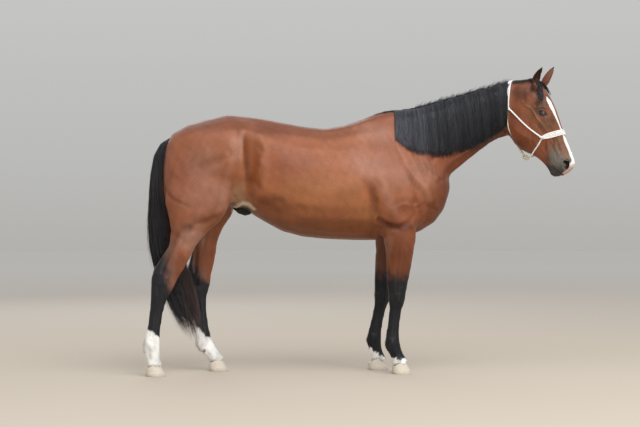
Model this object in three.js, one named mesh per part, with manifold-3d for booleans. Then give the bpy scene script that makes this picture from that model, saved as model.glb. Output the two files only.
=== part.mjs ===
// A standing bay horse at life size, in millimetres: +X towards its head, +Y its left side, +Z up,
// with the floor at Z = 0. Each limb is a loft of rings, the lofts are joined into one body, and
// thin cuts then part that body into the pieces that a person would name.
import * as THREE from "three";
import { mergeVertices } from "three/addons/utils/BufferGeometryUtils.js";
import Module from "manifold-3d";

const wasm = await Module();
wasm.setup();

// ---------------------------------------------------------------- driving sizes
const CUT = 1; // width of the cut between two pieces of the body
const GAP = 0.5; // clearance between the body and what lies on it
const STANCE_FORE = 125; // from the middle plane to a fore hoof
const STANCE_HIND = 140; // from the middle plane to a hind hoof
const EYE_RADIUS = 21;
const EAR_WIDTH = 55;
const ROPE = 9; // diameter of the halter's rope
const LIFT = 7; // from the hide to the middle of a rope
const HEAD_TURN = THREE.MathUtils.degToRad(-27); // the head looks to the horse's right
const HEAD_AT = new THREE.Vector3(960, -115, 0); // the axis that the head turns about
const ELBOW_CUT = 818;
const STIFLE_CUT = 955;
const GROIN = -640; // the hind legs are all behind this
const SIDES = { right: -1, left: 1 };

const finish = (color, roughness) => new THREE.MeshStandardMaterial({ color, roughness, metalness: 0 });
const hide = finish(0x8a4a2c, 0.5);
const blackHide = finish(0x1d1a1a, 0.55);
const whiteHide = finish(0xe6e2da, 0.7);
const darkSkin = finish(0x201c1c, 0.6);
const hair = finish(0x15151a, 0.5);
const horn = finish(0xcfc3ac, 0.6);
const eyeball = finish(0x140d09, 0.1);
const rope = finish(0xe9e4d6, 0.85);

// ---------------------------------------------------------------- tools
// Catmull-Rom value of a row of numbers, at t counted in rows.
function between(values, t) {
  const last = values.length - 1;
  const i = Math.min(Math.floor(t), last - 1);
  const [a, b, c, d] = [i - 1, i, i + 1, i + 2].map((k) => values[Math.max(0, Math.min(last, k))]);
  const f = t - i;
  return b + 0.5 * f * (c - a + f * (2 * a - 5 * b + 4 * c - d + f * (3 * (b - c) + d - a)));
}

const KEYS = ["fx", "fz", "bx", "bz", "y", "turn", "wide", "at", "fore", "aft"];

// A station is a ring: its front or upper point f and its back or lower point b, both in the plane Y = y,
// its half width, where along b to f it is widest, and how blunt each end is (1 is an ellipse, less is
// squarer, more is narrower). turn swings the ring about the vertical.
function station(f, b, wide, { y = 0, turn = 0, at = 0.5, fore = 1, aft = 1 } = {}) {
  return { fx: f[0], fz: f[1], bx: b[0], bz: b[1], y, turn, wide, at, fore, aft };
}

function ringPoint(s, angle) {
  const up = Math.cos(angle);
  const side = Math.sin(angle) * s.wide;
  const reach = up >= 0 ? s.at + (1 - s.at) * up ** s.fore : s.at * (1 - (-up) ** s.aft);
  return new THREE.Vector3(
    s.bx + (s.fx - s.bx) * reach - side * Math.sin(s.turn),
    s.y + side * Math.cos(s.turn),
    s.bz + (s.fz - s.bz) * reach,
  );
}

// One ring at t, counted in stations.
function blendStations(stations, t) {
  return Object.fromEntries(KEYS.map((key) => [key, between(stations.map((s) => s[key]), t)]));
}

// A closed tube through rows of points, each row a ring, with a fan at each end.
function tube(rows) {
  const around = rows[0].length;
  const centre = (row) => row.reduce((sum, p) => sum.add(p), new THREE.Vector3()).divideScalar(around);
  const points = [...rows.flat(), centre(rows[0]), centre(rows.at(-1))];
  const index = [];
  rows.slice(1).forEach((row, i) => {
    for (let j = 0; j < around; j++) {
      const [a, b] = [i * around + j, i * around + ((j + 1) % around)];
      index.push(a, b, a + around, b, b + around, a + around);
    }
  });
  const end = (rows.length - 1) * around;
  for (let j = 0; j < around; j++) {
    const next = (j + 1) % around;
    index.push(rows.length * around, next, j, rows.length * around + 1, end + j, end + next);
  }
  const geometry = new THREE.BufferGeometry().setFromPoints(points).setIndex(index);
  return signedVolume(geometry) < 0 ? geometry.setIndex(index.reverse()) : geometry;
}

function signedVolume(geometry) {
  const p = geometry.attributes.position;
  const corner = (i) => new THREE.Vector3().fromBufferAttribute(p, geometry.index.getX(i));
  let sum = 0;
  for (let i = 0; i < geometry.index.count; i += 3) sum += corner(i).dot(corner(i + 1).cross(corner(i + 2)));
  return sum / 6;
}

function loft(stations, around, count = stations.length - 1) {
  const rows = Array.from({ length: count + 1 }, (_, i) => {
    const ring = blendStations(stations, (i / count) * (stations.length - 1));
    return Array.from({ length: around }, (_, j) => ringPoint(ring, (2 * Math.PI * j) / around));
  });
  return tube(rows);
}

// Muscles: each pushes the surface near it outwards by its height, falling off over its three radii.
function swell(geometry, muscles) {
  geometry.computeVertexNormals();
  const { position, normal } = geometry.attributes;
  for (let i = 0; i < position.count; i++) {
    const p = new THREE.Vector3().fromBufferAttribute(position, i);
    const n = new THREE.Vector3().fromBufferAttribute(normal, i);
    for (const { at, size, lift } of muscles) {
      const away = p.clone().sub(new THREE.Vector3(...at)).divide(new THREE.Vector3(...size));
      p.addScaledVector(n, lift * Math.exp(-away.lengthSq()));
    }
    position.setXYZ(i, p.x, p.y, p.z);
  }
  return geometry;
}

// The same muscle on the left and the right.
const pair = (x, y, z, size, lift) => [-y, y].map((side) => ({ at: [x, side, z], size, lift }));

function solid(geometry) {
  const bare = geometry.clone();
  bare.deleteAttribute("normal");
  bare.deleteAttribute("uv");
  const merged = mergeVertices(bare, 1e-3);
  return new wasm.Manifold(
    new wasm.Mesh({
      numProp: 3,
      vertProperties: new Float32Array(merged.attributes.position.array),
      triVerts: new Uint32Array(merged.index.array),
    }),
  );
}

function geometryOf(body) {
  const { vertProperties, triVerts, numProp } = body.getMesh();
  const points = [];
  for (let i = 0; i < vertProperties.length; i += numProp) {
    points.push(new THREE.Vector3(...vertProperties.subarray(i, i + 3)));
  }
  return new THREE.BufferGeometry().setFromPoints(points).setIndex([...triVerts]);
}

// The solid with its surface moved out by a clearance, to cut a fitting neighbour with.
function grown(body, clearance = GAP) {
  const geometry = geometryOf(body);
  geometry.computeVertexNormals();
  const { position, normal } = geometry.attributes;
  for (let i = 0; i < position.count; i++) {
    const n = new THREE.Vector3().fromBufferAttribute(normal, i);
    const p = new THREE.Vector3().fromBufferAttribute(position, i).addScaledVector(n, clearance);
    position.setXYZ(i, p.x, p.y, p.z);
  }
  return solid(geometry);
}

// The body without what lies within the clearance of its neighbours.
const clearOf = (body, ...others) => others.reduce((rest, o) => rest.subtract(grown(o)).subtract(o), body);

// The largest of the bodies that a cut leaves.
const largest = (body) => body.decompose().sort((a, b) => b.volume() - a.volume())[0];

// All that lies on one side of a plane that holds a and b, given as [x, z], and the lateral axis.
// The side is the left of the way from a to b, moved back by half a cut.
const FAR = 6000; // larger than the whole horse
function halfSpace(a, b, matrix = new THREE.Matrix4()) {
  const way = new THREE.Vector2(b[0] - a[0], b[1] - a[1]).normalize();
  const left = new THREE.Vector2(-way.y, way.x);
  const block = new THREE.BoxGeometry(FAR, FAR, FAR);
  block.rotateY(-Math.atan2(way.y, way.x));
  block.translate(
    a[0] + left.x * (FAR / 2 + CUT / 2),
    0,
    a[1] + left.y * (FAR / 2 + CUT / 2),
  );
  return solid(block.applyMatrix4(matrix));
}

const group = new THREE.Group();
function add(name, body, material) {
  const mesh = new THREE.Mesh(geometryOf(body), material);
  mesh.name = name;
  group.add(mesh);
}

// ---------------------------------------------------------------- trunk
const TRUNK_MUSCLES = [
  ...pair(300, 205, 1180, [170, 120, 210], 22), // shoulder
  ...pair(215, 190, 985, [120, 110, 105], 26), // long head of the upper arm
  ...pair(465, 150, 1120, [90, 90, 110], 16), // point of the shoulder
  ...pair(430, 75, 1000, [110, 70, 90], 14), // breast
  ...pair(-690, 205, 1490, [70, 90, 70], 16), // point of the hip
  ...pair(-640, 260, 1330, [75, 120, 130], -26), // hollow of the flank
  ...pair(-930, 240, 1330, [170, 120, 170], 14), // croup
  ...pair(-150, 150, 1560, [380, 70, 70], 10), // long muscle of the back
];

function makeTrunk() {
  const stations = [
    station([-1240, 1330], [-1238, 1130], 70),
    station([-1218, 1450], [-1224, 1040], 150, { fore: 1.1 }),
    station([-1152, 1529], [-1166, 985], 205, { fore: 1.05 }),
    station([-1012, 1579], [-1020, 985], 255, { at: 0.52, fore: 0.95 }),
    station([-840, 1623], [-850, 1040], 278, { at: 0.52, fore: 0.95 }),
    station([-690, 1608], [-694, 1004], 282, { fore: 0.95 }),
    station([-550, 1586], [-560, 912], 288, { at: 0.46, fore: 0.98 }),
    station([-400, 1556], [-400, 858], 305, { at: 0.44, aft: 0.95 }),
    station([-240, 1537], [-240, 838], 312, { at: 0.44, aft: 0.95 }),
    station([-90, 1563], [-90, 831], 300, { at: 0.43, fore: 1.05 }),
    station([50, 1617], [40, 829], 272, { at: 0.41, fore: 1.3 }),
    station([170, 1657], [170, 834], 240, { at: 0.4, fore: 1.7 }),
    station([290, 1640], [290, 852], 222, { at: 0.42, fore: 1.6 }),
    station([400, 1500], [400, 900], 205, { at: 0.45, fore: 1.2 }),
    station([480, 1350], [485, 975], 175, { at: 0.45 }),
    station([535, 1270], [532, 1065], 120),
    station([562, 1220], [558, 1130], 55),
  ];
  return solid(swell(loft(stations, 20, 20), TRUNK_MUSCLES));
}

// ---------------------------------------------------------------- neck
// Each ring runs from the crest to the underline, and swings as the neck bends to the right.
function neckStations() {
  const bend = (share) => ({ y: HEAD_AT.y * share * share, turn: HEAD_TURN * 0.8 * share });
  return [
    station([90, 1600], [330, 930], 165, { ...bend(0), at: 0.42, fore: 1.5 }),
    station([205, 1652], [490, 1090], 168, { ...bend(0.05), at: 0.42, fore: 1.5 }),
    station([335, 1668], [568, 1236], 140, { ...bend(0.2), at: 0.42, fore: 1.5, aft: 0.9 }),
    station([480, 1710], [642, 1303], 112, { ...bend(0.38), at: 0.43, fore: 1.45, aft: 0.9 }),
    station([635, 1752], [738, 1383], 94, { ...bend(0.58), at: 0.45, fore: 1.4, aft: 0.9 }),
    station([785, 1796], [828, 1452], 82, { ...bend(0.78), at: 0.47, fore: 1.35, aft: 0.9 }),
    station([895, 1826], [895, 1482], 76, { ...bend(0.93), at: 0.5, fore: 1.2, aft: 0.9 }),
    station([985, 1840], [965, 1492], 68, { ...bend(1.05), at: 0.52, fore: 1.1, aft: 0.9 }),
  ];
}

const NECK = neckStations();
const makeNeck = () => solid(loft(NECK, 16, 10));

// ---------------------------------------------------------------- head
// Drawn facing +X with its turning axis at X = 0, then turned and set in place.
const headMatrix = new THREE.Matrix4()
  .makeTranslation(HEAD_AT.x, HEAD_AT.y, 0)
  .multiply(new THREE.Matrix4().makeRotationZ(HEAD_TURN));

const HEAD_MUSCLES = [
  ...pair(208, 100, 1648, [34, 40, 22], 9), // brow above the eye
  ...pair(232, 82, 1560, [60, 30, 14], 5), // facial crest
  ...pair(60, 80, 1500, [75, 40, 85], 8), // cheek
  ...pair(150, 80, 1690, [30, 40, 30], -7), // hollow above the eye
  ...pair(345, 52, 1330, [26, 30, 30], 7), // nostril rim
  ...pair(255, 60, 1470, [60, 30, 60], -5), // hollow of the side of the nose
  { at: [250, 0, 1240], size: [26, 50, 20], lift: 5 }, // chin
];

function makeHead() {
  const stations = [
    station([-10, 1826], [-60, 1590], 60),
    station([60, 1841], [-40, 1500], 80, { at: 0.5, fore: 0.9 }),
    station([112, 1836], [-20, 1470], 88, { at: 0.52, fore: 0.85, aft: 0.75 }),
    station([166, 1806], [0, 1438], 93, { at: 0.56, fore: 0.8, aft: 0.7 }),
    station([208, 1764], [28, 1410], 98, { at: 0.6, fore: 0.75, aft: 0.7 }),
    station([240, 1706], [62, 1388], 102, { at: 0.64, fore: 0.75, aft: 0.75 }),
    station([266, 1648], [100, 1371], 98, { at: 0.64, fore: 0.75, aft: 0.8 }),
    station([288, 1586], [133, 1354], 82, { at: 0.6, fore: 0.8, aft: 0.85 }),
    station([307, 1530], [160, 1334], 69, { at: 0.56, fore: 0.85, aft: 0.9 }),
    station([326, 1478], [184, 1312], 60, { at: 0.52, fore: 0.9 }),
    station([345, 1430], [204, 1290], 54, { at: 0.52, fore: 0.9 }),
    station([363, 1385], [219, 1266], 51, { at: 0.54, fore: 0.85 }),
    station([379, 1342], [233, 1242], 53, { at: 0.6, fore: 0.8 }),
    station([386, 1306], [262, 1228], 51, { at: 0.6, fore: 0.8 }),
    station([374, 1280], [304, 1233], 40, { at: 0.5, fore: 0.9 }),
    station([356, 1266], [332, 1244], 20),
  ];
  return swell(loft(stations, 18, 20), HEAD_MUSCLES);
}

// A ball stretched along its own axes, in the head's frame.
function pebble(centre, radii, angle = 0, detail = [10, 7]) {
  return new THREE.SphereGeometry(1, ...detail)
    .scale(...radii)
    .rotateY(angle)
    .translate(...centre);
}

const EYE = [203, 83, 1618]; // centre of the left eye in the head's frame
const makeEye = (sign) => {
  const ball = pebble([EYE[0], sign * EYE[1], EYE[2]], [EYE_RADIUS, EYE_RADIUS, EYE_RADIUS]);
  return solid(ball.applyMatrix4(headMatrix));
};

const makeNostril = (sign) =>
  solid(pebble([351, sign * 52, 1320], [10, 17, 21], -0.35, [8, 6]).applyMatrix4(headMatrix));

// An ear is a leaf curled round its hollow, which faces forward and outward.
const EARS = {
  right: { base: [151, -60, 1790], tip: [200, -80, 1907], bow: -12, turn: 0.75 },
  left: { base: [168, 62, 1796], tip: [234, 84, 1923], bow: -3, turn: 1.3 },
};
function makeEar({ base, tip, bow, turn }, sign) {
  const steps = 6;
  const around = 10;
  const spine = new THREE.Vector3(...tip).sub(new THREE.Vector3(...base));
  const facing = new THREE.Vector3(Math.cos(turn), sign * Math.sin(turn), 0);
  const across = new THREE.Vector3().crossVectors(spine, facing).normalize();
  const out = new THREE.Vector3().crossVectors(across, spine).normalize();
  const rows = Array.from({ length: steps + 1 }, (_, i) => {
    const up = i / steps;
    const wide = EAR_WIDTH / 2 * Math.sin(Math.PI * Math.min(1, 0.3 + 0.7 * up)) ** 0.75 + 1;
    const hollow = 0.75 * wide * Math.sin(Math.PI * Math.min(0.95, 0.2 + up * 0.75)) ** 0.5;
    const middle = new THREE.Vector3(...base).addScaledVector(spine, up);
    middle.x += bow * Math.sin(Math.PI * up);
    return Array.from({ length: around }, (_, j) => {
      const angle = (2 * Math.PI * j) / around;
      const front = Math.max(0, Math.cos(angle));
      return middle.clone()
        .addScaledVector(out, 0.7 * wide * Math.cos(angle) - hollow * front)
        .addScaledVector(across, wide * Math.sin(angle));
    });
  });
  return solid(tube(rows).applyMatrix4(headMatrix));
}

// ---------------------------------------------------------------- legs
// A leg follows its joints. Each row is the bone, how far along it, then how far the flesh reaches
// in front of the bone, behind it and to each side.
const FORE_ROWS = [
  [0, -0.45, 95, 95, 62],
  [0, -0.2, 112, 104, 68],
  [0, 0.03, 110, 100, 68],
  [0, 0.25, 98, 82, 62],
  [0, 0.5, 82, 72, 54],
  [0, 0.75, 65, 65, 46],
  [0, 0.9, 56, 57, 43],
  [1, 0.0, 52, 54, 45],
  [1, 0.1, 48, 47, 41],
  [1, 0.24, 37, 40, 31],
  [1, 0.5, 34, 40, 26],
  [1, 0.76, 36, 44, 27],
  [1, 0.9, 42, 45, 33],
  [2, 0.0, 47, 47, 37],
  [2, 0.3, 41, 42, 34],
  [2, 0.62, 38, 38, 33],
  [2, 0.9, 46, 44, 43],
  [2, 1.1, 50, 48, 50],
];
const HIND_ROWS = [
  [0, 0.1, 150, 150, 75],
  [0, 0.35, 205, 215, 105],
  [0, 0.62, 200, 235, 112],
  [0, 0.9, 150, 252, 106],
  [1, 0.06, 126, 248, 96],
  [1, 0.24, 86, 195, 86],
  [1, 0.42, 70, 118, 72],
  [1, 0.6, 74, 80, 58],
  [1, 0.78, 75, 83, 49],
  [1, 0.92, 72, 86, 45],
  [2, 0.04, 74, 76, 47],
  [2, 0.16, 58, 68, 43],
  [2, 0.3, 36, 60, 35],
  [2, 0.5, 27, 54, 28],
  [2, 0.74, 27, 53, 28],
  [2, 0.9, 35, 64, 34],
  [3, 0.0, 40, 66, 39],
  [3, 0.3, 39, 57, 35],
  [3, 0.62, 38, 40, 34],
  [3, 0.9, 44, 42, 43],
  [3, 1.1, 50, 46, 50],
];

// joints are [x, y, z] for the right side; sign mirrors them.
function legStations(joints, rows, sign) {
  const ways = joints.slice(1).map((joint, i) => {
    const a = joints[i];
    return new THREE.Vector2(joint[0] - a[0], joint[2] - a[2]).normalize();
  });
  return rows.map(([bone, along, front, back, side]) => {
    const [a, b] = [joints[bone], joints[bone + 1]];
    const [x, y, z] = [0, 1, 2].map((k) => a[k] + (b[k] - a[k]) * along);
    // Near a joint the ring leans half way to the next bone.
    const near = (k, share) => (ways[k] ? ways[bone].clone().lerp(ways[k], share) : ways[bone]);
    const before = Math.max(0, 0.5 - along * 2);
    const after = Math.max(0, 0.5 - (1 - along) * 2);
    const way = (before > 0 ? near(bone - 1, before) : near(bone + 1, after)).normalize();
    const ahead = [-way.y, way.x];
    return station(
      [x + ahead[0] * front, z + ahead[1] * front],
      [x - ahead[0] * back, z - ahead[1] * back],
      side,
      { y: -sign * y },
    );
  });
}

const LEGS = {
  fore_right: {
    rows: FORE_ROWS,
    sign: -1,
    joints: [[222, -152, 850], [212, -136, 470], [184, -130, 190], [232, -STANCE_FORE, 68]],
    hoof: 244,
  },
  fore_left: {
    rows: FORE_ROWS,
    sign: 1,
    joints: [[205, -152, 850], [155, -136, 468], [99, -130, 192], [124, -STANCE_FORE, 68]],
    hoof: 124,
  },
  hind_right: {
    rows: HIND_ROWS,
    sign: -1,
    joints: [
      [-960, -158, 1400],
      [-985, -160, 1020],
      [-1236, -150, 590],
      [-1297, -145, 176],
      [-1292, -STANCE_HIND, 62],
    ],
    hoof: -1283,
  },
  hind_left: {
    rows: HIND_ROWS,
    sign: 1,
    joints: [
      [-960, -158, 1400],
      [-925, -160, 1030],
      [-1020, -150, 585],
      [-977, -145, 184],
      [-906, -STANCE_HIND, 64],
    ],
    hoof: -897,
  },
};
const makeLeg = ({ joints, rows, sign }) => loft(legStations(joints, rows, sign), 12);

// A hoof is a slanting cone with a round toe and a straighter heel, cut level at the coronet and the floor.
const HOOF = { long: 134, wide: 122, toeHigh: 84, heelHigh: 46, slope: 0.62 };
function makeHoof(centre, sign, y) {
  const rows = [];
  const around = 12;
  const levels = [1, 0.12, 0];
  for (const level of levels) {
    const spread = level === 0 ? 0.985 : 1 - 0.24 * level;
    const row = [];
    for (let j = 0; j < around; j++) {
      const angle = (2 * Math.PI * j) / around;
      const ahead = Math.cos(angle);
      const heel = Math.max(0, -ahead);
      const high = (HOOF.heelHigh + ((HOOF.toeHigh - HOOF.heelHigh) * (1 + ahead)) / 2) * level;
      row.push(
        new THREE.Vector3(
          (HOOF.long / 2) * ahead * spread * (1 - 0.12 * heel) - HOOF.slope * high * 0.62,
          (HOOF.wide / 2) * Math.sin(angle) * spread * (1 + 0.06 * heel),
          high,
        ),
      );
    }
    rows.push(row);
  }
  return solid(tube(rows).translate(centre, sign * y, 0));
}

// ---------------------------------------------------------------- hair
const caster = new THREE.Raycaster();
function surfaceFrom(target, from, towards) {
  caster.set(from, towards.clone().sub(from).normalize());
  const hit = caster.intersectObject(target)[0];
  return hit ? hit.point : towards;
}

// The mane hangs straight down the right side of the neck from its crest.
const MANE_THICK = 20;
const MANE_DROPS = [205, 284, 326, 352, 356, 346, 326, 272]; // its length, from the withers to the poll
const MANE_RINGS = [1.07, 5.99]; // where it starts and ends along the neck
function makeMane(target) {
  const along = 8;
  const rows = Array.from({ length: along + 1 }, (_, i) => {
    const share = i / along;
    const [start, end] = MANE_RINGS;
    const crest = ringPoint(blendStations(NECK, start + (end - start) * share), 0);
    crest.z = surfaceFrom(target, crest.clone().setZ(2500), crest).z;
    const drop = between(MANE_DROPS, share * (MANE_DROPS.length - 1));
    const [inner, outer] = [[], []];
    for (const down of [0.015, 0.09, 0.3, 0.65, 1]) {
      const z = crest.z - drop * down;
      const on = surfaceFrom(
        target,
        new THREE.Vector3(crest.x, crest.y - 600, z),
        new THREE.Vector3(crest.x, crest.y - 1, z),
      );
      const thick = MANE_THICK * (1 - 0.4 * down ** 3) * (0.75 + 0.25 * Math.sin(Math.PI * share));
      inner.push(new THREE.Vector3(on.x, on.y + 16, z));
      outer.push(new THREE.Vector3(on.x, on.y - thick, z));
    }
    return [new THREE.Vector3(crest.x, crest.y + 4, crest.z + 15), ...outer, ...inner.reverse()];
  });
  return solid(tube(rows));
}

// The forelock falls from between the ears, most of it over the right brow and a thin lock on the left.
// Each row is how far forward, how far to the side, how high and how thick.
const FORELOCK = {
  right: [
    [104, -8, 1842, 22],
    [150, -30, 1822, 24],
    [172, -50, 1780, 21],
    [178, -64, 1730, 15],
    [176, -74, 1684, 5],
  ],
  left: [
    [132, 12, 1836, 18],
    [184, 22, 1802, 19],
    [214, 30, 1760, 14],
    [234, 32, 1715, 5],
  ],
};
function makeLock(route) {
  const stations = route.map(([u, y, z, r]) => station([u + r, z + r], [u - r, z - r], r, { y }));
  return solid(loft(stations, 6).applyMatrix4(headMatrix));
}

// The tail leaves the croup, hangs behind the buttocks and swings forward between the hocks.
function makeTail() {
  const stations = [
    station([-1130, 1535], [-1150, 1500], 26),
    station([-1190, 1512], [-1188, 1440], 34),
    station([-1248, 1458], [-1196, 1400], 40),
    station([-1280, 1370], [-1195, 1340], 46),
    station([-1312, 1245], [-1200, 1230], 58),
    station([-1330, 1100], [-1190, 1100], 68),
    station([-1335, 940], [-1172, 950], 76),
    station([-1328, 790], [-1140, 810], 80),
    station([-1296, 650], [-1098, 690], 76),
    station([-1255, 530], [-1058, 580], 66),
    station([-1214, 430], [-1030, 475], 56),
    station([-1172, 345], [-1018, 375], 42),
    station([-1126, 270], [-1012, 290], 26),
    station([-1060, 200], [-1030, 205], 9),
  ];
  return solid(loft(stations, 10));
}

// ---------------------------------------------------------------- halter
// Each rope is a strap on a row of points, and each point knows which way is out from the head.
const headPoint = (u, side, z) => new THREE.Vector3(u, side, z).applyMatrix4(headMatrix);
const headWay = (u, side, z) => headPoint(u, side, z).sub(headPoint(0, 0, 0)).normalize();

function strap(route, thick, wide = thick) {
  const path = new THREE.CatmullRomCurve3(route.map(({ at }) => at));
  const steps = Math.max(6, Math.round(path.getLength() / 56));
  const around = 5;
  const rows = Array.from({ length: steps + 1 }, (_, i) => {
    const share = (i / steps) * (route.length - 1);
    const k = Math.min(Math.floor(share), route.length - 2);
    const out = route[k].out.clone().lerp(route[k + 1].out, share - k).normalize();
    const middle = path.getPoint(i / steps);
    const across = path.getTangent(i / steps).cross(out).normalize();
    return Array.from({ length: around }, (_, j) => {
      const angle = (2 * Math.PI * j) / around;
      return middle.clone()
        .addScaledVector(out, (thick / 2) * Math.cos(angle))
        .addScaledVector(across, (wide / 2) * Math.sin(angle));
    });
  });
  return solid(tube(rows));
}

// A point of a strap: where a ray from outside meets the head on its way to aim, raised off the hide.
function laid(target, aim, out, raise) {
  const on = surfaceFrom(target, aim.clone().addScaledVector(out, 400), aim);
  return { at: on.clone().addScaledVector(out, raise), out };
}

// A strap that passes round the head in a tilted plane, from one side over the top to the other.
function hoop(target, [u, z], [aheadU, aheadZ], reach, count, raise) {
  return Array.from({ length: count + 1 }, (_, i) => {
    const angle = THREE.MathUtils.degToRad(reach * ((2 * i) / count - 1));
    const ahead = Math.cos(angle);
    return laid(target, headPoint(u, 0, z), headWay(aheadU * ahead, Math.sin(angle), aheadZ * ahead), raise);
  });
}

// A strap down one side of the head along a line of [u, z].
const sideLine = (target, sign, line, raise) =>
  line.map(([u, z]) => laid(target, headPoint(u, 0, z), headWay(0, sign, 0), raise));

const CHEEK_LINE = [[-12, 1652], [24, 1618], [70, 1572], [120, 1526], [165, 1492], [193, 1474]];
const THROAT_LINE = [[-22, 1634], [-25, 1592], [-24, 1552], [-20, 1516]];
const JAW_LINE = [[188, 1452], [174, 1430], [156, 1408], [136, 1386]];
const KNOT = [76, 0, 1354];

function jawRoute(target, sign) {
  const under = [[120, 40, 1362], [96, 22, 1356]].map(([u, side, z]) => ({
    at: headPoint(u, sign * side, z),
    out: headWay(0.3, sign, -1),
  }));
  return [...sideLine(target, sign, JAW_LINE, LIFT), ...under];
}

function throatRoute(target, sign) {
  const under = [[-4, 46, 1464], [12, 32, 1424], [36, 22, 1394], [60, 14, 1372]].map(([u, side, z]) => ({
    at: headPoint(u, sign * side, z),
    out: headWay(-0.4, 0.6 * sign, -1),
  }));
  return [...sideLine(target, sign, THROAT_LINE, LIFT), ...under];
}

// ---------------------------------------------------------------- assembly
const head = largest(solid(makeHead().applyMatrix4(headMatrix)));
const legs = Object.fromEntries(Object.entries(LEGS).map(([name, leg]) => [name, solid(makeLeg(leg))]));
let whole = makeTrunk().add(makeNeck()).add(head);
for (const leg of Object.values(legs)) whole = whole.add(leg);

const eyes = { left: makeEye(1), right: makeEye(-1) };
for (const sign of Object.values(SIDES)) whole = whole.subtract(makeNostril(sign));
for (const eye of Object.values(eyes)) whole = whole.subtract(grown(eye));

// The cuts: behind the cheeks and the poll, then from the front of the withers to the breast.
const POLL_CUT = [[20, 1880], [-58, 1440]];
const WITHERS_CUT = [[248, 1720], [600, 1180]];
const swap = ([a, b]) => [b, a];
const headSpace = halfSpace(...POLL_CUT, headMatrix);
const behindHead = halfSpace(...swap(POLL_CUT), headMatrix);
const neckSpace = halfSpace(...WITHERS_CUT);
const behindNeck = halfSpace(...swap(WITHERS_CUT));
const headPiece = largest(whole.intersect(headSpace));
add("head", headPiece, hide);
const neckPiece = largest(whole.intersect(behindHead).intersect(neckSpace));
add("neck", neckPiece, hide);

const above = (z) => halfSpace([0, z], [1, z]);
const below = (z) => halfSpace([1, z], [0, z]);
const behind = (x) => halfSpace([x, 0], [x, 1]);
const beyond = (x) => halfSpace([x, 1], [x, 0]);
const ends = { fore: beyond(0), hind: behind(GROIN) };
const torso = whole.intersect(behindNeck);
const trunk = largest(
  torso.subtract(below(ELBOW_CUT).intersect(ends.fore)).subtract(below(STIFLE_CUT).intersect(ends.hind)),
);
add("trunk", trunk, hide);

const LEG_CUTS = {
  fore: { names: ["forearm", "fore_cannon", "fore_pastern"], levels: [ELBOW_CUT, 428, 168] },
  hind: { names: ["gaskin", "hind_cannon", "hind_pastern"], levels: [STIFLE_CUT, 540, 152] },
};
const coats = [hide, blackHide, whiteHide];
for (const [name, { sign, hoof, joints }] of Object.entries(LEGS)) {
  const [end, side] = name.split("_");
  const { names, levels } = LEG_CUTS[end];
  const horny = makeHoof(hoof, sign, Math.abs(joints.at(-1)[1]));
  const leg = clearOf(legs[name].intersect(ends[end]), horny);
  names.forEach((piece, i) => {
    const lower = levels[i + 1] ?? -FAR / 4;
    add(`${piece}_${side}`, largest(leg.intersect(below(levels[i])).intersect(above(lower))), coats[i]);
  });
  add(`hoof_${name}`, horny, horn);
}

const ears = [];
for (const [side, sign] of Object.entries(SIDES)) {
  add(`eye_${side}`, eyes[side], eyeball);
  ears.push(largest(clearOf(makeEar(EARS[side], sign), headPiece)));
  add(`ear_${side}`, ears.at(-1), hide);
}

// What the ropes and the mane are laid on.
const target = new THREE.Mesh(geometryOf(whole), new THREE.MeshBasicMaterial({ side: THREE.DoubleSide }));
const body = [headPiece, neckPiece, trunk];

// The knot holds the ropes under the chin, and each rope stops short of what it is tied to.
const knot = solid(pebble(KNOT, [28, 21, 22], 0.5, [8, 5]).applyMatrix4(headMatrix));
const crown = strap(hoop(target, [-22, 1740], [0.02, 1], 137, 14, LIFT), ROPE, ROPE * 2.6);
const noseband = strap(hoop(target, [228, 1478], [0.956, 0.292], 109, 12, LIFT), ROPE, ROPE * 3.8);
const halter = { crown: clearOf(crown, ...body), noseband: clearOf(noseband, ...body), knot };
for (const [side, sign] of Object.entries(SIDES)) {
  const cheek = strap(sideLine(target, sign, CHEEK_LINE, LIFT), ROPE * 1.3);
  const jaw = strap(jawRoute(target, sign), ROPE * 1.3);
  const throat = strap(throatRoute(target, sign), ROPE);
  halter[`cheek_${side}`] = clearOf(cheek, ...body, crown, noseband);
  halter[`jaw_${side}`] = clearOf(jaw, ...body, noseband, knot, cheek);
  halter[`throat_${side}`] = clearOf(throat, ...body, crown, knot, cheek, jaw);
}
const ropes = Object.values(halter);
for (const [name, piece] of Object.entries(halter)) add(`halter_${name}`, largest(piece), rope);

const sheath = solid(
  loft(
    [
      station([-694, 1046], [-700, 1016], 14),
      station([-716, 1066], [-722, 992], 34),
      station([-762, 1080], [-768, 984], 44),
      station([-816, 1085], [-826, 998], 44),
      station([-880, 1080], [-884, 1034], 26),
    ],
    10,
  ),
);
add("sheath", largest(clearOf(sheath, trunk)), darkSkin);
add("mane", largest(clearOf(makeMane(target), ...body, ...ropes)), hair);
const rightLock = largest(clearOf(makeLock(FORELOCK.right), ...body, ...ears));
add("forelock_right", rightLock, hair);
add("forelock_left", largest(clearOf(makeLock(FORELOCK.left), ...body, ...ears, rightLock)), hair);
const hocks = ["hind_right", "hind_left"].map((name) => grown(legs[name], 2));
add("tail", largest(hocks.reduce((rest, hock) => rest.subtract(hock), clearOf(makeTail(), trunk))), hair);

// The origin is on the floor, at the middle of the whole horse's box.
const box = new THREE.Box3().setFromObject(group, true);
const middle = box.getCenter(new THREE.Vector3());
group.position.set(-middle.x, -middle.y, -box.min.z);

export default group;
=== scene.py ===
# %% [markdown]
# # A bay horse in a rope halter, life-size
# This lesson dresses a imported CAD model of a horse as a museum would: one skin over the flesh,
# a short glossy coat, a long black mane and tail, hooves, eyes and a laid-rope halter.
# The CAD solids fix every size. We load them first and never move them.

# %% Load the frame
import bpy
import math
import time
import numpy as np
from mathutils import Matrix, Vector
from mathutils.bvhtree import BVHTree


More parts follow.
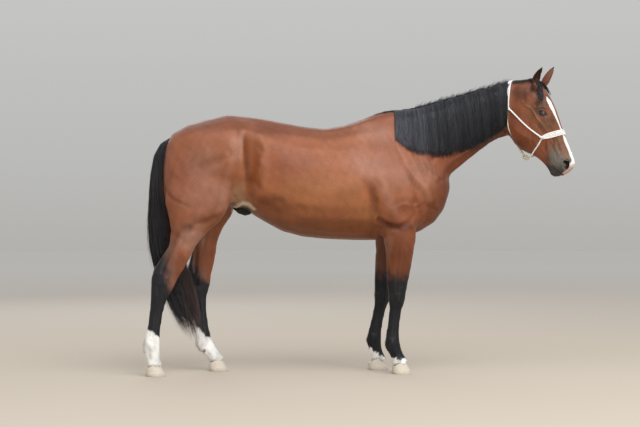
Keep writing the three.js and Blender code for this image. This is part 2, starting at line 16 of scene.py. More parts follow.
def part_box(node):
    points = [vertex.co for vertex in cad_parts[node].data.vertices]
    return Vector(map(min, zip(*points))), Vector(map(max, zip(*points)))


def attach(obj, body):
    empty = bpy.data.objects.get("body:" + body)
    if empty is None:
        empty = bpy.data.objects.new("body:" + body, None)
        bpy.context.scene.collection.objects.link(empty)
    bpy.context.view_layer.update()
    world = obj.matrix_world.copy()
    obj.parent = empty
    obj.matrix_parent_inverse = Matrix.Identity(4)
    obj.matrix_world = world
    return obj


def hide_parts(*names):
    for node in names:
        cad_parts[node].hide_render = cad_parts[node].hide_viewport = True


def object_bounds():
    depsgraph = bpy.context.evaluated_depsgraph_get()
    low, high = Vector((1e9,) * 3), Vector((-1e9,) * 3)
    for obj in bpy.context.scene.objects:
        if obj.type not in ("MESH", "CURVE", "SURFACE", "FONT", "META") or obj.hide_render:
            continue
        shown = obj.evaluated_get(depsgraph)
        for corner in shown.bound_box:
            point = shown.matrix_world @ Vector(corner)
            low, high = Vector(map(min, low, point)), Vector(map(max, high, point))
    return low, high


started = time.time()
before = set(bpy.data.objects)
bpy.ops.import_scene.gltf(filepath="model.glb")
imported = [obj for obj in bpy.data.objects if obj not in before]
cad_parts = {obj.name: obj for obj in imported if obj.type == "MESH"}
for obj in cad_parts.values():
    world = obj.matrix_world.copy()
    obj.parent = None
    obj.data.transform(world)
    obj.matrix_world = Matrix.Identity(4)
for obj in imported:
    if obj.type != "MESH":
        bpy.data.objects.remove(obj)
cad_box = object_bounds()
print("CAD box", [tuple(round(c, 3) for c in corner) for corner in cad_box])

# %% [markdown]
# A horse is easier to describe in whole millimetres, in the axes its maker used: X forward,
# Y to its left and Z up. The toe of the right fore hoof ties those millimetres to the frame.
# The head is turned to the right, so it has axes of its own: u along the nose, side and height.

# %% The maker's millimetres and the head's own axes
TOE = np.array([309.995, -64.915, 84.0])
SHIFT = np.array(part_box("hoof_fore_right")[1]) - TOE / 1000
HEAD_AT = np.array([960.0, -115.0, 0.0])
TURN = math.radians(-27)
HEAD_AXES = np.array([[math.cos(TURN), math.sin(TURN), 0], [-math.sin(TURN), math.cos(TURN), 0], [0, 0, 1]])


def at(points):
    """Maker's millimetres to metres in the frame."""
    return np.asarray(points, float) / 1000 + SHIFT


def drawn(points):
    """Metres in the frame to the maker's millimetres."""
    return (np.asarray(points, float) - SHIFT) * 1000


def head_at(points):
    """The head's own (u, side, height) to metres in the frame."""
    return at(np.asarray(points, float) @ HEAD_AXES + HEAD_AT)


def head_of(points):
    """Metres in the frame to the head's own (u, side, height)."""
    return (drawn(points) - HEAD_AT) @ HEAD_AXES.T


def fade(value, low, high):
    """0 below low, 1 above high, and a smooth ramp between."""
    share = np.clip((np.asarray(value, float) - low) / (high - low), 0, 1)
    return share * share * (3 - 2 * share)


print("shift in mm", np.round(SHIFT * 1000, 3))

# %% Mesh helpers
def deselect():
    for thing in bpy.context.selected_objects:
        thing.select_set(False)


def only(piece):
    deselect()
    piece.select_set(True)
    bpy.context.view_layer.objects.active = piece


def read(items, key, width=3, kind=np.float32):
    """One value of every item of a mesh, as an array with a row for each item."""
    flat = np.empty(len(items) * width, kind)
    items.foreach_get(key, flat)
    return flat.reshape(-1, width)


def points_of(piece):
    return read(piece.data.vertices, "co").astype(float)


def facing_of(piece):
    return read(piece.data.vertex_normals, "vector").astype(float)


def centres_of(piece):
    return read(piece.data.polygons, "center").astype(float)


def edges_of(piece):
    return read(piece.data.edges, "vertices", 2, np.int32)


def place(piece, points):
    piece.data.vertices.foreach_set("co", np.asarray(points, np.float32).ravel())
    piece.data.update()


def between(route, keys, wanted):
    """Points along a route: every column of its rows, found between the same keys."""
    return np.stack([np.interp(wanted, keys, column) for column in route.T], -1)


def unit(rows):
    """The same directions, each one long."""
    return rows / np.maximum(np.linalg.norm(rows, axis=-1, keepdims=True), 1e-9)


def relax(points, edges, weight, rounds, push=0.53):
    """Smooths a surface, then pushes it back out, so that it keeps its volume."""
    first, second = edges.T
    count = len(points)
    shared = np.maximum(np.bincount(first, minlength=count) + np.bincount(second, minlength=count), 1)
    for _ in range(rounds):
        for pull in (0.5, -push):
            total = np.stack(
                [np.bincount(first, points[second, k], count) + np.bincount(second, points[first, k], count)
                 for k in range(3)], 1)
            points = points + (pull * weight)[:, None] * (total / shared[:, None] - points)
    return points


def faces_of(piece):
    piece.data.calc_loop_triangles()
    return len(piece.data.loop_triangles)


def apply_all(piece):
    only(piece)
    for modifier in list(piece.modifiers):
        bpy.ops.object.modifier_apply(modifier=modifier.name)


def edit(piece):
    """Opens a piece for editing, with all of it selected."""
    only(piece)
    bpy.ops.object.mode_set(mode="EDIT")
    bpy.ops.mesh.select_all(action="SELECT")


def close():
    bpy.ops.object.mode_set(mode="OBJECT")


def face_outwards(piece):
    edit(piece)
    bpy.ops.mesh.normals_make_consistent(inside=False)
    close()


def linked(name, data):
    """A new object in the scene."""
    made = bpy.data.objects.new(name, data)
    bpy.context.scene.collection.objects.link(made)
    return made


def dress(piece, finish, slot, *nodes):
    """Gives a piece its finish, sets it on the root and hides the solids it stands for. The slot is not used.
    """
    piece.data.materials.clear()
    piece.data.materials.append(finish)
    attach(piece, "root")
    if nodes:
        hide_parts(*nodes)


deselect()
print(len(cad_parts), "CAD nodes")

# %% [markdown]
# The camera stands well back, level, at about the height of the horse's elbow, and looks
# almost square to its right side. A long lens keeps the legs from spreading.

# %% Camera
camera_data = bpy.data.cameras.new("camera")
camera_data.lens = 80.3
camera_data.sensor_width = 36
camera_data.clip_end = 200
camera = linked("camera", camera_data)
camera.location = at([-964.0, -8972.4, 1000.0])
camera.rotation_euler = (math.radians(90), 0, math.radians(-4.5))
bpy.context.scene.camera = camera
print("camera", tuple(round(c, 3) for c in camera.location))

# %% [markdown]
# Every finish is a small tree of nodes. These helpers add one node, one ramp of colours, one sum
# or one new finish at a time, so that the cells below can say what a finish does.

# %% Node helpers
def node(tree, kind, **settings):
    made = tree.nodes.new(kind)
    for key, value in settings.items():
        setattr(made, key, value)
    return made


def ramp(tree, factor, *stops):
    """A colour ramp; each stop is a position and a colour, from low to high."""
    made = node(tree, "ShaderNodeValToRGB")
    elements = made.color_ramp.elements
    for k, (position, colour) in enumerate(stops):
        stop = elements[k] if k < 2 else elements.new(position)
        stop.position, stop.color = position, (*colour, 1)
    tree.links.new(factor, made.inputs["Fac"])
    return made.outputs["Color"]


def finish_of(name, roughness, **settings):
    made = bpy.data.materials.new(name)
    made.use_nodes = True
    shader = made.node_tree.nodes["Principled BSDF"]
    shader.inputs["Roughness"].default_value = roughness
    for key, value in settings.items():
        shader.inputs[key.replace("_", " ")].default_value = value
    return made, made.node_tree, shader


def maths(tree, operation, first, second):
    made = node(tree, "ShaderNodeMath", operation=operation)
    for k, value in enumerate((first, second)):
        if isinstance(value, (int, float)):
            made.inputs[k].default_value = value
        else:
            tree.links.new(value, made.inputs[k])
    return made.outputs[0]


print("node helpers ready")

# %% [markdown]
# A glossy coat shows what it reflects, so the light is a large soft sky: a broad panel above,
# a weaker one from the camera's side and a faint one behind, over a pale floor.

# %% Floor and light
bpy.ops.mesh.primitive_circle_add(vertices=96, radius=30, fill_type="NGON", location=(0, 0, 0))
floor = bpy.context.object
floor.name = "floor"
edit(floor)
bpy.ops.mesh.inset(thickness=20)
close()
floor_finish, tree, floor_shader = finish_of("pale_floor", 0.9)
away = node(tree, "ShaderNodeVectorMath", operation="LENGTH")
tree.links.new(node(tree, "ShaderNodeTexCoord").outputs["Object"], away.inputs[0])
TONE_PER_METRE = 0.045
sand = ramp(tree, maths(tree, "MULTIPLY", away.outputs["Value"], TONE_PER_METRE),
            (0.1, (0.50, 0.43, 0.35)), (0.75, (0.58, 0.56, 0.53)))
tree.links.new(sand, floor_shader.inputs["Base Color"])
floor.data.materials.append(floor_finish)


def soft_panel(name, place_at, aim, size, power, tint):
    data = bpy.data.lights.new(name, "AREA")
    data.shape = "RECTANGLE"
    data.size, data.size_y = size
    data.energy = power
    data.color = tint
    panel = linked(name, data)
    panel.location = place_at
    panel.rotation_euler = (Vector(aim) - Vector(place_at)).to_track_quat("-Z", "Y").to_euler()


soft_panel("sky_panel", (1.0, -3.6, 6.0), (0, 0, 1.0), (6.0, 4.5), 315, (0.93, 0.97, 1.0))
soft_panel("front_panel", (2.5, -8.5, 2.6), (0, 0, 1.0), (6.0, 4.0), 260, (1.0, 0.97, 0.92))
soft_panel("far_panel", (-2.0, 6.5, 4.5), (0, 0, 1.1), (5.0, 3.0), 90, (0.93, 0.96, 1.0))
world = bpy.data.worlds.new("studio")
bpy.context.scene.world = world
world.use_nodes = True
tree = world.node_tree
backdrop = tree.nodes["Background"]
backdrop.inputs["Strength"].default_value = 0.8
height = node(tree, "ShaderNodeSeparateXYZ")
upward = node(tree, "ShaderNodeMapRange")
upward.inputs["From Min"].default_value = -1.0
tree.links.new(node(tree, "ShaderNodeTexCoord").outputs["Generated"], height.inputs[0])
tree.links.new(height.outputs["Z"], upward.inputs["Value"])
sky = ramp(tree, upward.outputs[0], (0.45, (0.50, 0.47, 0.43)), (0.52, (0.62, 0.62, 0.61)),
           (0.78, (0.98, 0.99, 1.0)))
tree.links.new(sky, backdrop.inputs["Color"])
bpy.context.scene.view_settings.view_transform = "Standard"
print("lights ready")

# %% [markdown]
# ## The skin
# The flesh is parted by thin cuts, as a butcher's chart is. One skin has to run over them all.
# Each piece is copied, its loose triangles are merged, and it is grown a little to close the cuts.
# A voxel remesh then wraps the heap in one even grid of squares. The head is wrapped on its own
# in a finer grid, and the two are bridged behind the jaw like two pipes.

# %% Copy the flesh
LEG_NAMES = ["fore_right", "fore_left", "hind_right", "hind_left"]
LEG_PARTS = {"fore": ["forearm", "fore_cannon", "fore_pastern"],
             "hind": ["gaskin", "hind_cannon", "hind_pastern"]}
FLESH = ["head", "neck", "trunk", "ear_right", "ear_left"]
for leg in LEG_NAMES:
    kind, side = leg.split("_")
    FLESH += [f"{part}_{side}" for part in LEG_PARTS[kind]]


SAME_POINT = 0.00002


def copied(name, grow=0.0):
    """A solid's mesh with its loose triangles merged, grown by so many metres."""
    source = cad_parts[name]
    piece = linked(name + "_copy", source.data.copy())
    piece.data.materials.clear()
    edit(piece)
    bpy.ops.mesh.remove_doubles(threshold=SAME_POINT)
    bpy.ops.mesh.normals_make_consistent(inside=False)
    close()
    place(piece, points_of(piece) + facing_of(piece) * grow)
    return piece


def joined(pieces, name):
    deselect()
    for piece in pieces:
        piece.select_set(True)
    bpy.context.view_layer.objects.active = pieces[0]
    bpy.ops.object.join()
    pieces[0].name = name
    return pieces[0]


EARS = {"right": ([151, -60, 1790], [200, -80, 1907], 0.75), "left": ([168, 62, 1796], [234, 84, 1923], 1.3)}


def ear_root(base, tip):
    """The thick gristle that an ear stands on, as an egg sunk in the head."""
    spine = unit(np.array(tip, float) - base)
    across = unit(np.cross(spine, [1.0, 0, 0]))
    bpy.ops.mesh.primitive_uv_sphere_add(segments=24, ring_count=16, radius=1)
    root = bpy.context.object
    local = points_of(root) * [25, 22, 36]
    place(root, head_at(base - spine * 17 + local @ np.stack([np.cross(across, spine), across, spine])))
    return root


GROWN = 0.0016
pieces = [copied(name, GROWN) for name in FLESH + ["eye_right", "eye_left"]]
pieces += [ear_root(base, tip) for base, tip, _ in EARS.values()]
body = joined(pieces, "body_wrap")
print("flesh triangles", faces_of(body))

# %% Wrap the body and the head
NECK_CUT = head_at([-118, 0, 1640])
NECK_WAY = np.array([0.985, 0, 0.174]) @ HEAD_AXES
GRID_BODY, GRID_HEAD = 0.0136, 0.0055


def wrap(piece, size):
    remesh = piece.modifiers.new("wrap", "REMESH")
    remesh.mode = "VOXEL"
    remesh.voxel_size = size
    apply_all(piece)


def cut(piece, spot, way, keep_ahead, fill=False):
    """Cuts a piece on a plane and keeps the half ahead of it, or the half behind."""
    edit(piece)
    bpy.ops.mesh.bisect(plane_co=spot, plane_no=way, clear_inner=keep_ahead, clear_outer=not keep_ahead,
                        use_fill=fill)
    close()


head = linked("head_wrap", body.data.copy())
cut(head, NECK_CUT - NECK_WAY * 0.05, NECK_WAY, True, fill=True)
wrap(body, GRID_BODY)
wrap(head, GRID_HEAD)
print("wrapped:", faces_of(body), faces_of(head))

# %% [markdown]
# A wrap copies the flat facets of the solids. Smoothing alone would melt them, and the muscles
# with them, so every pull inwards is followed by a push back out. The barrel takes many rounds,
# the legs and the face only a few.

# %% Melt the facets
points = points_of(body)
mm = drawn(points)
everywhere = np.ones(len(points))
points = relax(points, edges_of(body), everywhere, 5)
broad = fade(mm[:, 2], 640, 960) * (1 - 0.75 * fade(mm[:, 0], 700, 1000))
points = relax(points, edges_of(body), broad, 110, 0.515)
place(body, points)
points = points_of(head)
points = relax(points, edges_of(head), np.ones(len(points)), 22, 0.525)
place(head, points)
print("melted", round(time.time() - started, 1), "s")

# %% Cut both on the neck and bridge them
cut(body, NECK_CUT - NECK_WAY * 0.006, NECK_WAY, False)
cut(head, NECK_CUT + NECK_WAY * 0.006, NECK_WAY, True)
skin = joined([body, head], "skin")
edit(skin)
bpy.ops.mesh.select_all(action="DESELECT")
bpy.ops.mesh.select_mode(type="EDGE")
bpy.ops.mesh.select_non_manifold(extend=False, use_boundary=True, use_wire=False, use_multi_face=False,
                                 use_non_contiguous=False, use_verts=False)
bpy.ops.mesh.bridge_edge_loops()
close()
face_outwards(skin)
points = points_of(skin)
seam = np.abs((points - NECK_CUT) @ NECK_WAY) * 1000
points = relax(points, edges_of(skin), 1 - fade(seam, 12, 45), 12, 0.51)
place(skin, points)
print("skin", faces_of(skin), "triangles", round(time.time() - started, 1), "s")

# %% [markdown]
# The feet, the eyes, the nostrils, the lips and the ears need closer squares than the barrel.
# Their faces are selected by place and split, and the new corners are eased into the curve.

# %% Finer squares where the detail is
SIGN = {"right": -1, "left": 1}
EYE = {side: head_of(np.mean(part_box("eye_" + side)[:2], 0)) for side in SIGN}
EYE_RADIUS = 0.5 * max(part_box("eye_left")[1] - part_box("eye_left")[0])
print("eye centres in the head", {side: np.round(spot) for side, spot in EYE.items()}, "radius", EYE_RADIUS)


def split_where(piece, chosen):
    edit(piece)
    bpy.ops.mesh.select_mode(type="FACE")
    bpy.ops.mesh.select_all(action="DESELECT")
    close()
    piece.data.polygons.foreach_set("select", chosen)
    bpy.ops.object.mode_set(mode="EDIT")
    bpy.ops.mesh.subdivide(number_cuts=1)
    close()


def near_face_detail(spots, reach=0.0):
    head = head_of(spots)
    side = np.abs(head[:, 1])
    eye = np.hypot(head[:, 0] - EYE["left"][0], head[:, 2] - EYE["left"][2]) < 46 + reach
    muzzle = (head[:, 2] < 1352 + reach) & (head[:, 0] > 236 - reach)
    ear = (head[:, 2] > 1812 - reach) & (side > 30)
    return (eye & (side > 55)) | muzzle | ear


spots = centres_of(skin)
split_where(skin, (drawn(spots)[:, 2] < 640) | near_face_detail(spots))
points = points_of(skin)
mm = drawn(points)
weight = np.maximum(1 - fade(mm[:, 2], 620, 660), 0.6 * near_face_detail(points, 8))
place(skin, relax(points, edges_of(skin), weight, 6, 0.51))
print("skin", faces_of(skin), "triangles", round(time.time() - started, 1), "s")

# %% [markdown]
# ## Muscles, hollows and tendons
# Everything under a horse's skin shows through it. Each form is a soft stroke: a line on the
# flank, its half width and how far it lifts (or, below zero, sinks) the skin, all in millimetres.
# A stroke is drawn on the side that faces it, and mirrored on the other flank.

# %% A soft stroke
def stroke(flat, line):
    """For points in a plane, the lift of a stroke along rows of [x, z, half width, lift]."""
    line = np.asarray(line, float)
    lift = np.zeros(len(flat))
    if len(line) == 1:
        line = np.vstack([line, line + [[0.01, 0, 0, 0]]])
    for a, b in zip(line[:-1], line[1:]):
        way = b[:2] - a[:2]
        share = np.clip(((flat - a[:2]) @ way) / (way @ way), 0, 1)
        wide, high = (a[k] + (b[k] - a[k]) * share for k in (2, 3))
        away = np.linalg.norm(flat - (a[:2] + share[:, None] * way), axis=1)
        bump = np.clip(1 - (away / wide) ** 2, 0, 1) ** 2 * high
        lift = np.where(np.abs(bump) > np.abs(lift), bump, lift)
    return lift


def strokes_on(place_3, facing_3, strokes, edge=40):
    """Sums strokes drawn on the side view, on both sides of the middle plane."""
    flat = place_3[:, [0, 2]]
    across, faces = np.abs(place_3[:, 1]), facing_3[:, 1] * np.sign(place_3[:, 1])
    seen = fade(faces, 0.05, 0.5) * fade(across, edge * 0.2, edge)
    lift = np.zeros(len(flat))
    for line in strokes.values():
        lift += stroke(flat, line)
    return lift * seen


FLANK = {
    "hollow of the flank": [[-704, 1470, 44, -4], [-696, 1390, 60, -9], [-694, 1300, 60, -10],
                            [-702, 1205, 46, -6]],
    "point of hip": [[-752, 1500, 40, 8], [-762, 1450, 34, 8], [-764, 1380, 32, 6], [-766, 1290, 32, 4],
                     [-762, 1180, 28, 3], [-772, 1090, 22, 3]],
    "last rib": [[-694, 1532, 30, 3], [-640, 1488, 34, 5], [-612, 1400, 34, 5], [-612, 1300, 30, 3]],
    "short ribs under the loin": [[-560, 1540, 60, -4], [-660, 1540, 60, -5]],
    "fold of the stifle": [[-740, 1180, 20, 4], [-738, 1110, 20, 6], [-756, 1062, 18, 5],
                           [-790, 1030, 16, 4]],
    "edge of the fold": [[-800, 1016, 18, 4], [-776, 1050, 18, 5], [-745, 1062, 18, 5], [-700, 1052, 20, 4]],
    "pocket behind the belly": [[-700, 1110, 34, -5], [-660, 1150, 40, -5]],
    "seam of the thigh": [[-1251, 1197, 10, -1.5], [-1218, 1144, 10, -2.5], [-1176, 1091, 10, -2.5],
                          [-1127, 1064, 10, -2], [-1072, 1044, 14, -1]],
    "buttock": [[-1190, 1330, 60, 5], [-1235, 1210, 50, 6]],
    "dimple of the thigh": [[-1126, 926, 36, -4], [-1066, 904, 34, -3.5]],
    "calf behind the stifle": [[-1010, 985, 60, 5], [-1080, 860, 50, 5]],
    "middle of the thigh": [[-992, 1296, 60, -6], [-919, 1327, 60, -8], [-830, 1360, 50, -5]],
    "rump muscle": [[-1030, 1470, 90, 5], [-900, 1490, 90, 6]],
    "front of the thigh": [[-830, 1290, 50, 5], [-850, 1180, 60, 8], [-870, 1080, 50, 6]],
    "kneecap": [[-846, 1030, 34, 6]],
    "groove below the kneecap": [[-900, 1060, 18, -4], [-930, 980, 20, -4]],
    "whorl of the flank": [[-640, 1083, 36, -2], [-540, 1077, 40, -1.5]],
    "milk vein": [[-420, 930, 12, 1], [-200, 880, 12, 1.5], [0, 872, 12, 1.5]],
    "girth groove": [[60, 850, 40, -5], [40, 980, 40, -5], [20, 1060, 34, -3]],
    "behind the triceps": [[0, 1230, 30, -2], [12, 1195, 32, -6], [36, 1140, 36, -9], [60, 1070, 36, -10],
                           [80, 1000, 32, -9], [102, 948, 24, -7]],
    "elbow crease": [[92, 954, 20, -9], [148, 920, 22, -11], [210, 908, 22, -11], [285, 950, 20, -6],
                     [312, 1000, 18, -3]],
    "triceps": [[110, 1220, 60, 5], [130, 1130, 62, 10], [168, 1030, 58, 11], [200, 985, 40, 6]],
    "lower triceps seam": [[150, 1200, 14, -3], [205, 1110, 14, -4], [235, 1010, 14, -3]],
    "point of the shoulder": [[350, 1220, 40, 5], [382, 1165, 42, 9], [405, 1085, 40, 8]],
    "arm muscle seam": [[262, 1280, 16, -3], [296, 1190, 18, -6], [312, 1110, 18, -6], [300, 1020, 18, -5]],
    "blade spine": [[130, 1570, 26, 3], [200, 1440, 26, 5], [262, 1330, 26, 4]],
    "before the blade": [[230, 1540, 34, -4], [300, 1400, 30, -6], [345, 1300, 22, -6], [385, 1200, 20, -5]],
    "shoulder fold": [[272, 1372, 14, -3], [296, 1310, 15, -5], [318, 1240, 13, -3]],
    "neck fold": [[455, 1300, 10, -2], [472, 1245, 11, -4], [482, 1190, 9, -2]],
    "under the shoulder point": [[312, 1088, 16, -4], [338, 1040, 17, -6], [352, 985, 14, -4]],
    "behind the blade": [[60, 1560, 60, -4], [90, 1400, 60, -4]],
    "neck muscle seam": [[420, 1330, 16, -4], [560, 1420, 16, -3], [700, 1520, 16, -2]],
    "throat vein": [[462, 1190, 22, -5], [586, 1310, 22, -8], [745, 1412, 22, -8], [880, 1490, 18, -5]],
    "long fold of the arm": [[184, 1381, 14, -2], [241, 1267, 17, -4], [316, 1166, 17, -4],
                             [366, 1091, 13, -2]],
    "ridge before it": [[214, 1392, 15, 2], [272, 1280, 17, 3.5], [344, 1184, 16, 3.5], [392, 1112, 12, 2]],
    "fold at the neck's root": [[366, 1355, 9, -2], [392, 1292, 11, -3.5], [467, 1242, 11, -3.5],
                                [493, 1192, 9, -2]],
    "vein over the arm": [[165, 1030, 11, 2.5], [241, 1055, 12, 3.5], [316, 1042, 12, 3.5],
                          [366, 1080, 11, 2.5]],
    "groove over the vein": [[170, 1052, 10, -2], [241, 1079, 11, -3.5], [310, 1068, 10, -2.5]],
    "windpipe side": [[520, 1170, 26, 3], [640, 1290, 24, 4], [780, 1400, 22, 4]],
    "skin creases of the shoulder": [[430, 1330, 10, -2], [442, 1270, 10, -4], [432, 1210, 9, -2]],
    "second crease": [[378, 1345, 10, -2], [400, 1275, 10, -4], [398, 1220, 9, -2]],
    "breast muscle": [[470, 1040, 46, 6], [440, 960, 40, 6]],
    "fold over the breast": [[405, 1040, 18, -4], [450, 1022, 20, -6], [492, 1030, 16, -3]],
    "thigh over the shank": [[-1065, 925, 26, -4], [-960, 952, 26, -6], [-885, 985, 20, -4]],
    "breast groove": [[430, 1060, 14, -4], [405, 990, 14, -5], [380, 930, 14, -3]],
}
RIBS = {f"rib {k}": [[-150 - 66 * k, 1300, 20, 0.5], [-175 - 64 * k, 1180, 20, 0.9],
                     [-185 - 62 * k, 1060, 20, 0.5]]
        for k in range(7)}
mm, facing = drawn(points_of(skin)), facing_of(skin)
torso = strokes_on(mm, facing, FLANK) + strokes_on(mm, facing, RIBS)
torso *= np.where(torso < 0, 1.7, 1.15)
print("flank strokes", len(FLANK), "from", round(torso.min(), 1), "to", round(torso.max(), 1), "mm")

# %% [markdown]
# A leg bends at its joints, so its strokes are drawn on the leg's own chart: how far down the
# bones, and how far in front of them. The same chart then serves all four legs, and the markings.

# %% The chart of a leg
JOINTS = {
    "fore_right": [[222, -152, 850], [212, -136, 470], [184, -130, 190], [232, -125, 68]],
    "fore_left": [[205, 152, 850], [155, 136, 468], [99, 130, 192], [124, 125, 68]],
    "hind_right": [[-960, -158, 1400], [-985, -160, 1020], [-1236, -150, 590], [-1297, -145, 176],
                   [-1292, -140, 62]],
    "hind_left": [[-960, 158, 1400], [-925, 160, 1030], [-1020, 150, 585], [-977, 145, 184], [-906, 140, 64]],
}


def leg_chart(spots, leg):
    """(down, ahead, outward) of points on a leg, in millimetres; down runs 0, 1, 2 ... at the joints."""
    joints = np.array(JOINTS[leg], float)
    best = np.full(len(spots), 1e9)
    chart = np.zeros((len(spots), 3))
    for k, (a, b) in enumerate(zip(joints[:-1], joints[1:])):
        way = (b - a)[[0, 2]]
        share = ((spots[:, [0, 2]] - a[[0, 2]]) @ way) / (way @ way)
        low = 0 if k else -1
        share = np.clip(share, low, 1 if k < len(joints) - 2 else 2)
        middle = a + share[:, None] * (b - a)
        away = np.linalg.norm((spots - middle)[:, [0, 2]], axis=1)
        ahead = (spots[:, 0] - middle[:, 0]) * -way[1] / np.linalg.norm(way)
        ahead += (spots[:, 2] - middle[:, 2]) * way[0] / np.linalg.norm(way)
        out = (spots[:, 1] - middle[:, 1]) * np.sign(a[1])
        closer = away < best
        best = np.where(closer, away, best)
        chart = np.where(closer[:, None], np.stack([k + share, ahead, out], 1), chart)
    return chart


def of_leg(spots, leg):
    """1 on the leg and 0 on the rest of the horse."""
    side = fade(spots[:, 1] * np.sign(JOINTS[leg][0][1]), -5, 5)
    top = (780, 860) if "fore" in leg else (900, 990)
    return side * (1 - fade(spots[:, 2], *top)) * ((spots[:, 0] > -400) == ("fore" in leg))


# rows of [how far down, how far ahead, half width, lift]
FORE_STROKES = {
    "forearm seam": [[0.15, -6, 14, -4], [0.4, -10, 13, -5], [0.7, -12, 11, -4], [0.9, -8, 9, -2]],
    "front forearm seam": [[0.2, 34, 12, -3], [0.5, 28, 11, -4], [0.8, 22, 9, -3]],
    "knee ridge": [[0.93, 12, 16, 3], [1.05, 14, 18, 4]],
    "knee hollow": [[0.97, -22, 12, -4], [1.1, -20, 12, -4]],
    "knee bone": [[0.95, -44, 13, 5], [1.03, -44, 12, 5]],
    "cannon seam": [[1.2, -6, 8, -3], [1.5, -5, 8, -4], [1.85, -6, 8, -4]],
    "tendon seam": [[1.2, -22, 6, -2], [1.5, -21, 6, -3], [1.85, -24, 6, -3]],
    "fetlock side": [[1.95, -8, 20, 4], [2.02, -8, 20, 4]],
    "fetlock dimple": [[1.86, -16, 10, -4]],
    "pastern hollow": [[2.35, -24, 14, -4], [2.6, -22, 14, -4]],
    "coronet": [[2.86, 20, 12, 2], [2.9, -20, 12, 2]],
}
HIND_STROKES = {
    "shank seam": [[1.15, -20, 18, -5], [1.4, -12, 16, -6], [1.65, -8, 13, -4]],
    "tendon hollow": [[1.42, -66, 20, -7], [1.62, -56, 20, -13], [1.8, -44, 18, -15], [1.92, -32, 14, -8]],
    "Achilles cord": [[1.5, -92, 12, 3], [1.75, -74, 12, 4], [1.93, -66, 12, 5]],
    "point of hock": [[1.97, -62, 18, 6]],
    "hock bone": [[1.96, 12, 18, 5], [2.06, 6, 20, 5]],
    "hock front": [[1.98, 42, 16, 3]],
    "hock lower hollow": [[2.1, -26, 13, -5], [2.2, -20, 12, -4]],
    "cannon seam": [[2.28, -12, 8, -3], [2.55, -12, 8, -4], [2.85, -12, 8, -4]],
    "tendon seam": [[2.28, -32, 6, -2], [2.55, -30, 6, -3], [2.85, -32, 6, -3]],
    "fetlock side": [[2.97, -12, 20, 4], [3.03, -12, 20, 4]],
    "fetlock dimple": [[2.9, -24, 10, -4]],
    "pastern hollow": [[3.35, -26, 14, -4], [3.6, -22, 14, -4]],
    "coronet": [[3.86, 20, 12, 2], [3.9, -20, 12, 2]],
}


def limb_relief(mm, facing):
    """The lift of every leg's strokes, measured down its bones."""
    lift = np.zeros(len(mm))
    for leg in LEG_NAMES:
        chart, on_leg = leg_chart(mm, leg), of_leg(mm, leg)
        spans = np.linalg.norm(np.diff(np.array(JOINTS[leg], float), axis=0), axis=1)
        down = np.concatenate([[0], np.cumsum(spans)])
        flat = np.stack([np.interp(chart[:, 0], range(len(down)), down), chart[:, 1]], 1)
        sideways = fade(np.abs(facing[:, 1]), 0.2, 0.6)
        for line in (FORE_STROKES if "fore" in leg else HIND_STROKES).values():
            rows = [[np.interp(row[0], range(len(down)), down), *row[1:]] for row in line]
            lift += stroke(flat, rows) * on_leg * sideways
    return lift


limbs = 1.2 * limb_relief(mm, facing)
print("leg strokes from", round(limbs.min(), 1), "to", round(limbs.max(), 1), "mm")

# %% [markdown]
# ## The head
# A horse's face is thin skin over bone: the ridge from the cheek to the nose, the round jaw,
# the hollow over the eye, the loose folds round the nostril. The same strokes draw them, on the
# head's own axes.

# %% Strokes of the head
FACE = {
    "jaw edge": [[-8, 1560, 14, 2], [2, 1480, 15, 3], [40, 1428, 15, 3], [100, 1402, 13, 2]],
    "round of the jaw": [[40, 1520, 60, 5], [62, 1560, 60, 4]],
    "cheek seam": [[118, 1560, 13, -3], [135, 1500, 13, -4], [130, 1440, 13, -3]],
    "cheek bone": [[92, 1672, 13, 3], [130, 1650, 12, 5], [172, 1584, 11, 5], [205, 1545, 11, 5],
                   [232, 1500, 10, 4]],
    "under the cheek bone": [[160, 1560, 13, -3], [196, 1510, 14, -4], [216, 1470, 14, -3]],
    "beside the nose": [[248, 1530, 16, -4], [276, 1460, 18, -6], [300, 1390, 16, -5]],
    "edge of the nose bone": [[262, 1600, 10, 2], [290, 1520, 10, 3], [318, 1440, 10, 3], [338, 1380, 9, 2]],
    "hollow over the eye": [[158, 1672, 17, -7], [172, 1684, 15, -5]],
    "brow bone": [[176, 1652, 9, 4], [206, 1660, 10, 5], [232, 1648, 10, 3]],
    "temple": [[110, 1720, 26, 4], [134, 1754, 24, 3]],
    "jaw joint": [[74, 1690, 15, 3]],
    "behind the jaw": [[-38, 1590, 18, -5], [-34, 1520, 18, -7], [-20, 1462, 14, -4]],
    "lift muscle of the lip": [[236, 1470, 9, 2], [270, 1415, 9, 3], [304, 1352, 9, 2]],
    "muzzle crease": [[262, 1400, 7, -2], [276, 1362, 8, -3], [280, 1330, 8, -2]],
    "second muzzle crease": [[290, 1420, 6, -2], [300, 1380, 7, -3], [306, 1350, 7, -2]],
    "cheek pouch": [[240, 1352, 26, 3]],
    "chin": [[246, 1250, 20, 4]],
    "chin groove": [[226, 1280, 12, -3], [214, 1300, 12, -2]],
    "face vein": [[150, 1404, 4, 1.5], [158, 1450, 4, 2], [184, 1500, 4, 2], [214, 1526, 4, 1.5]],
    "second vein": [[184, 1500, 3.5, 1.5], [206, 1474, 3.5, 1.5], [240, 1440, 3.5, 1]],
    "nostril wing": [[318, 1338, 9, 3], [340, 1345, 9, 4], [362, 1328, 8, 3], [366, 1300, 8, 3],
                     [350, 1272, 8, 3]],
    "behind the nostril": [[318, 1310, 10, -2], [326, 1284, 9, -3]],
}
spot = head_of(points_of(skin))
head_facing = facing @ HEAD_AXES.T
front = fade(spot[:, 0], -70, -20) * fade(spot[:, 2], 1180, 1220)
face = strokes_on(spot, head_facing, FACE, edge=22) * front
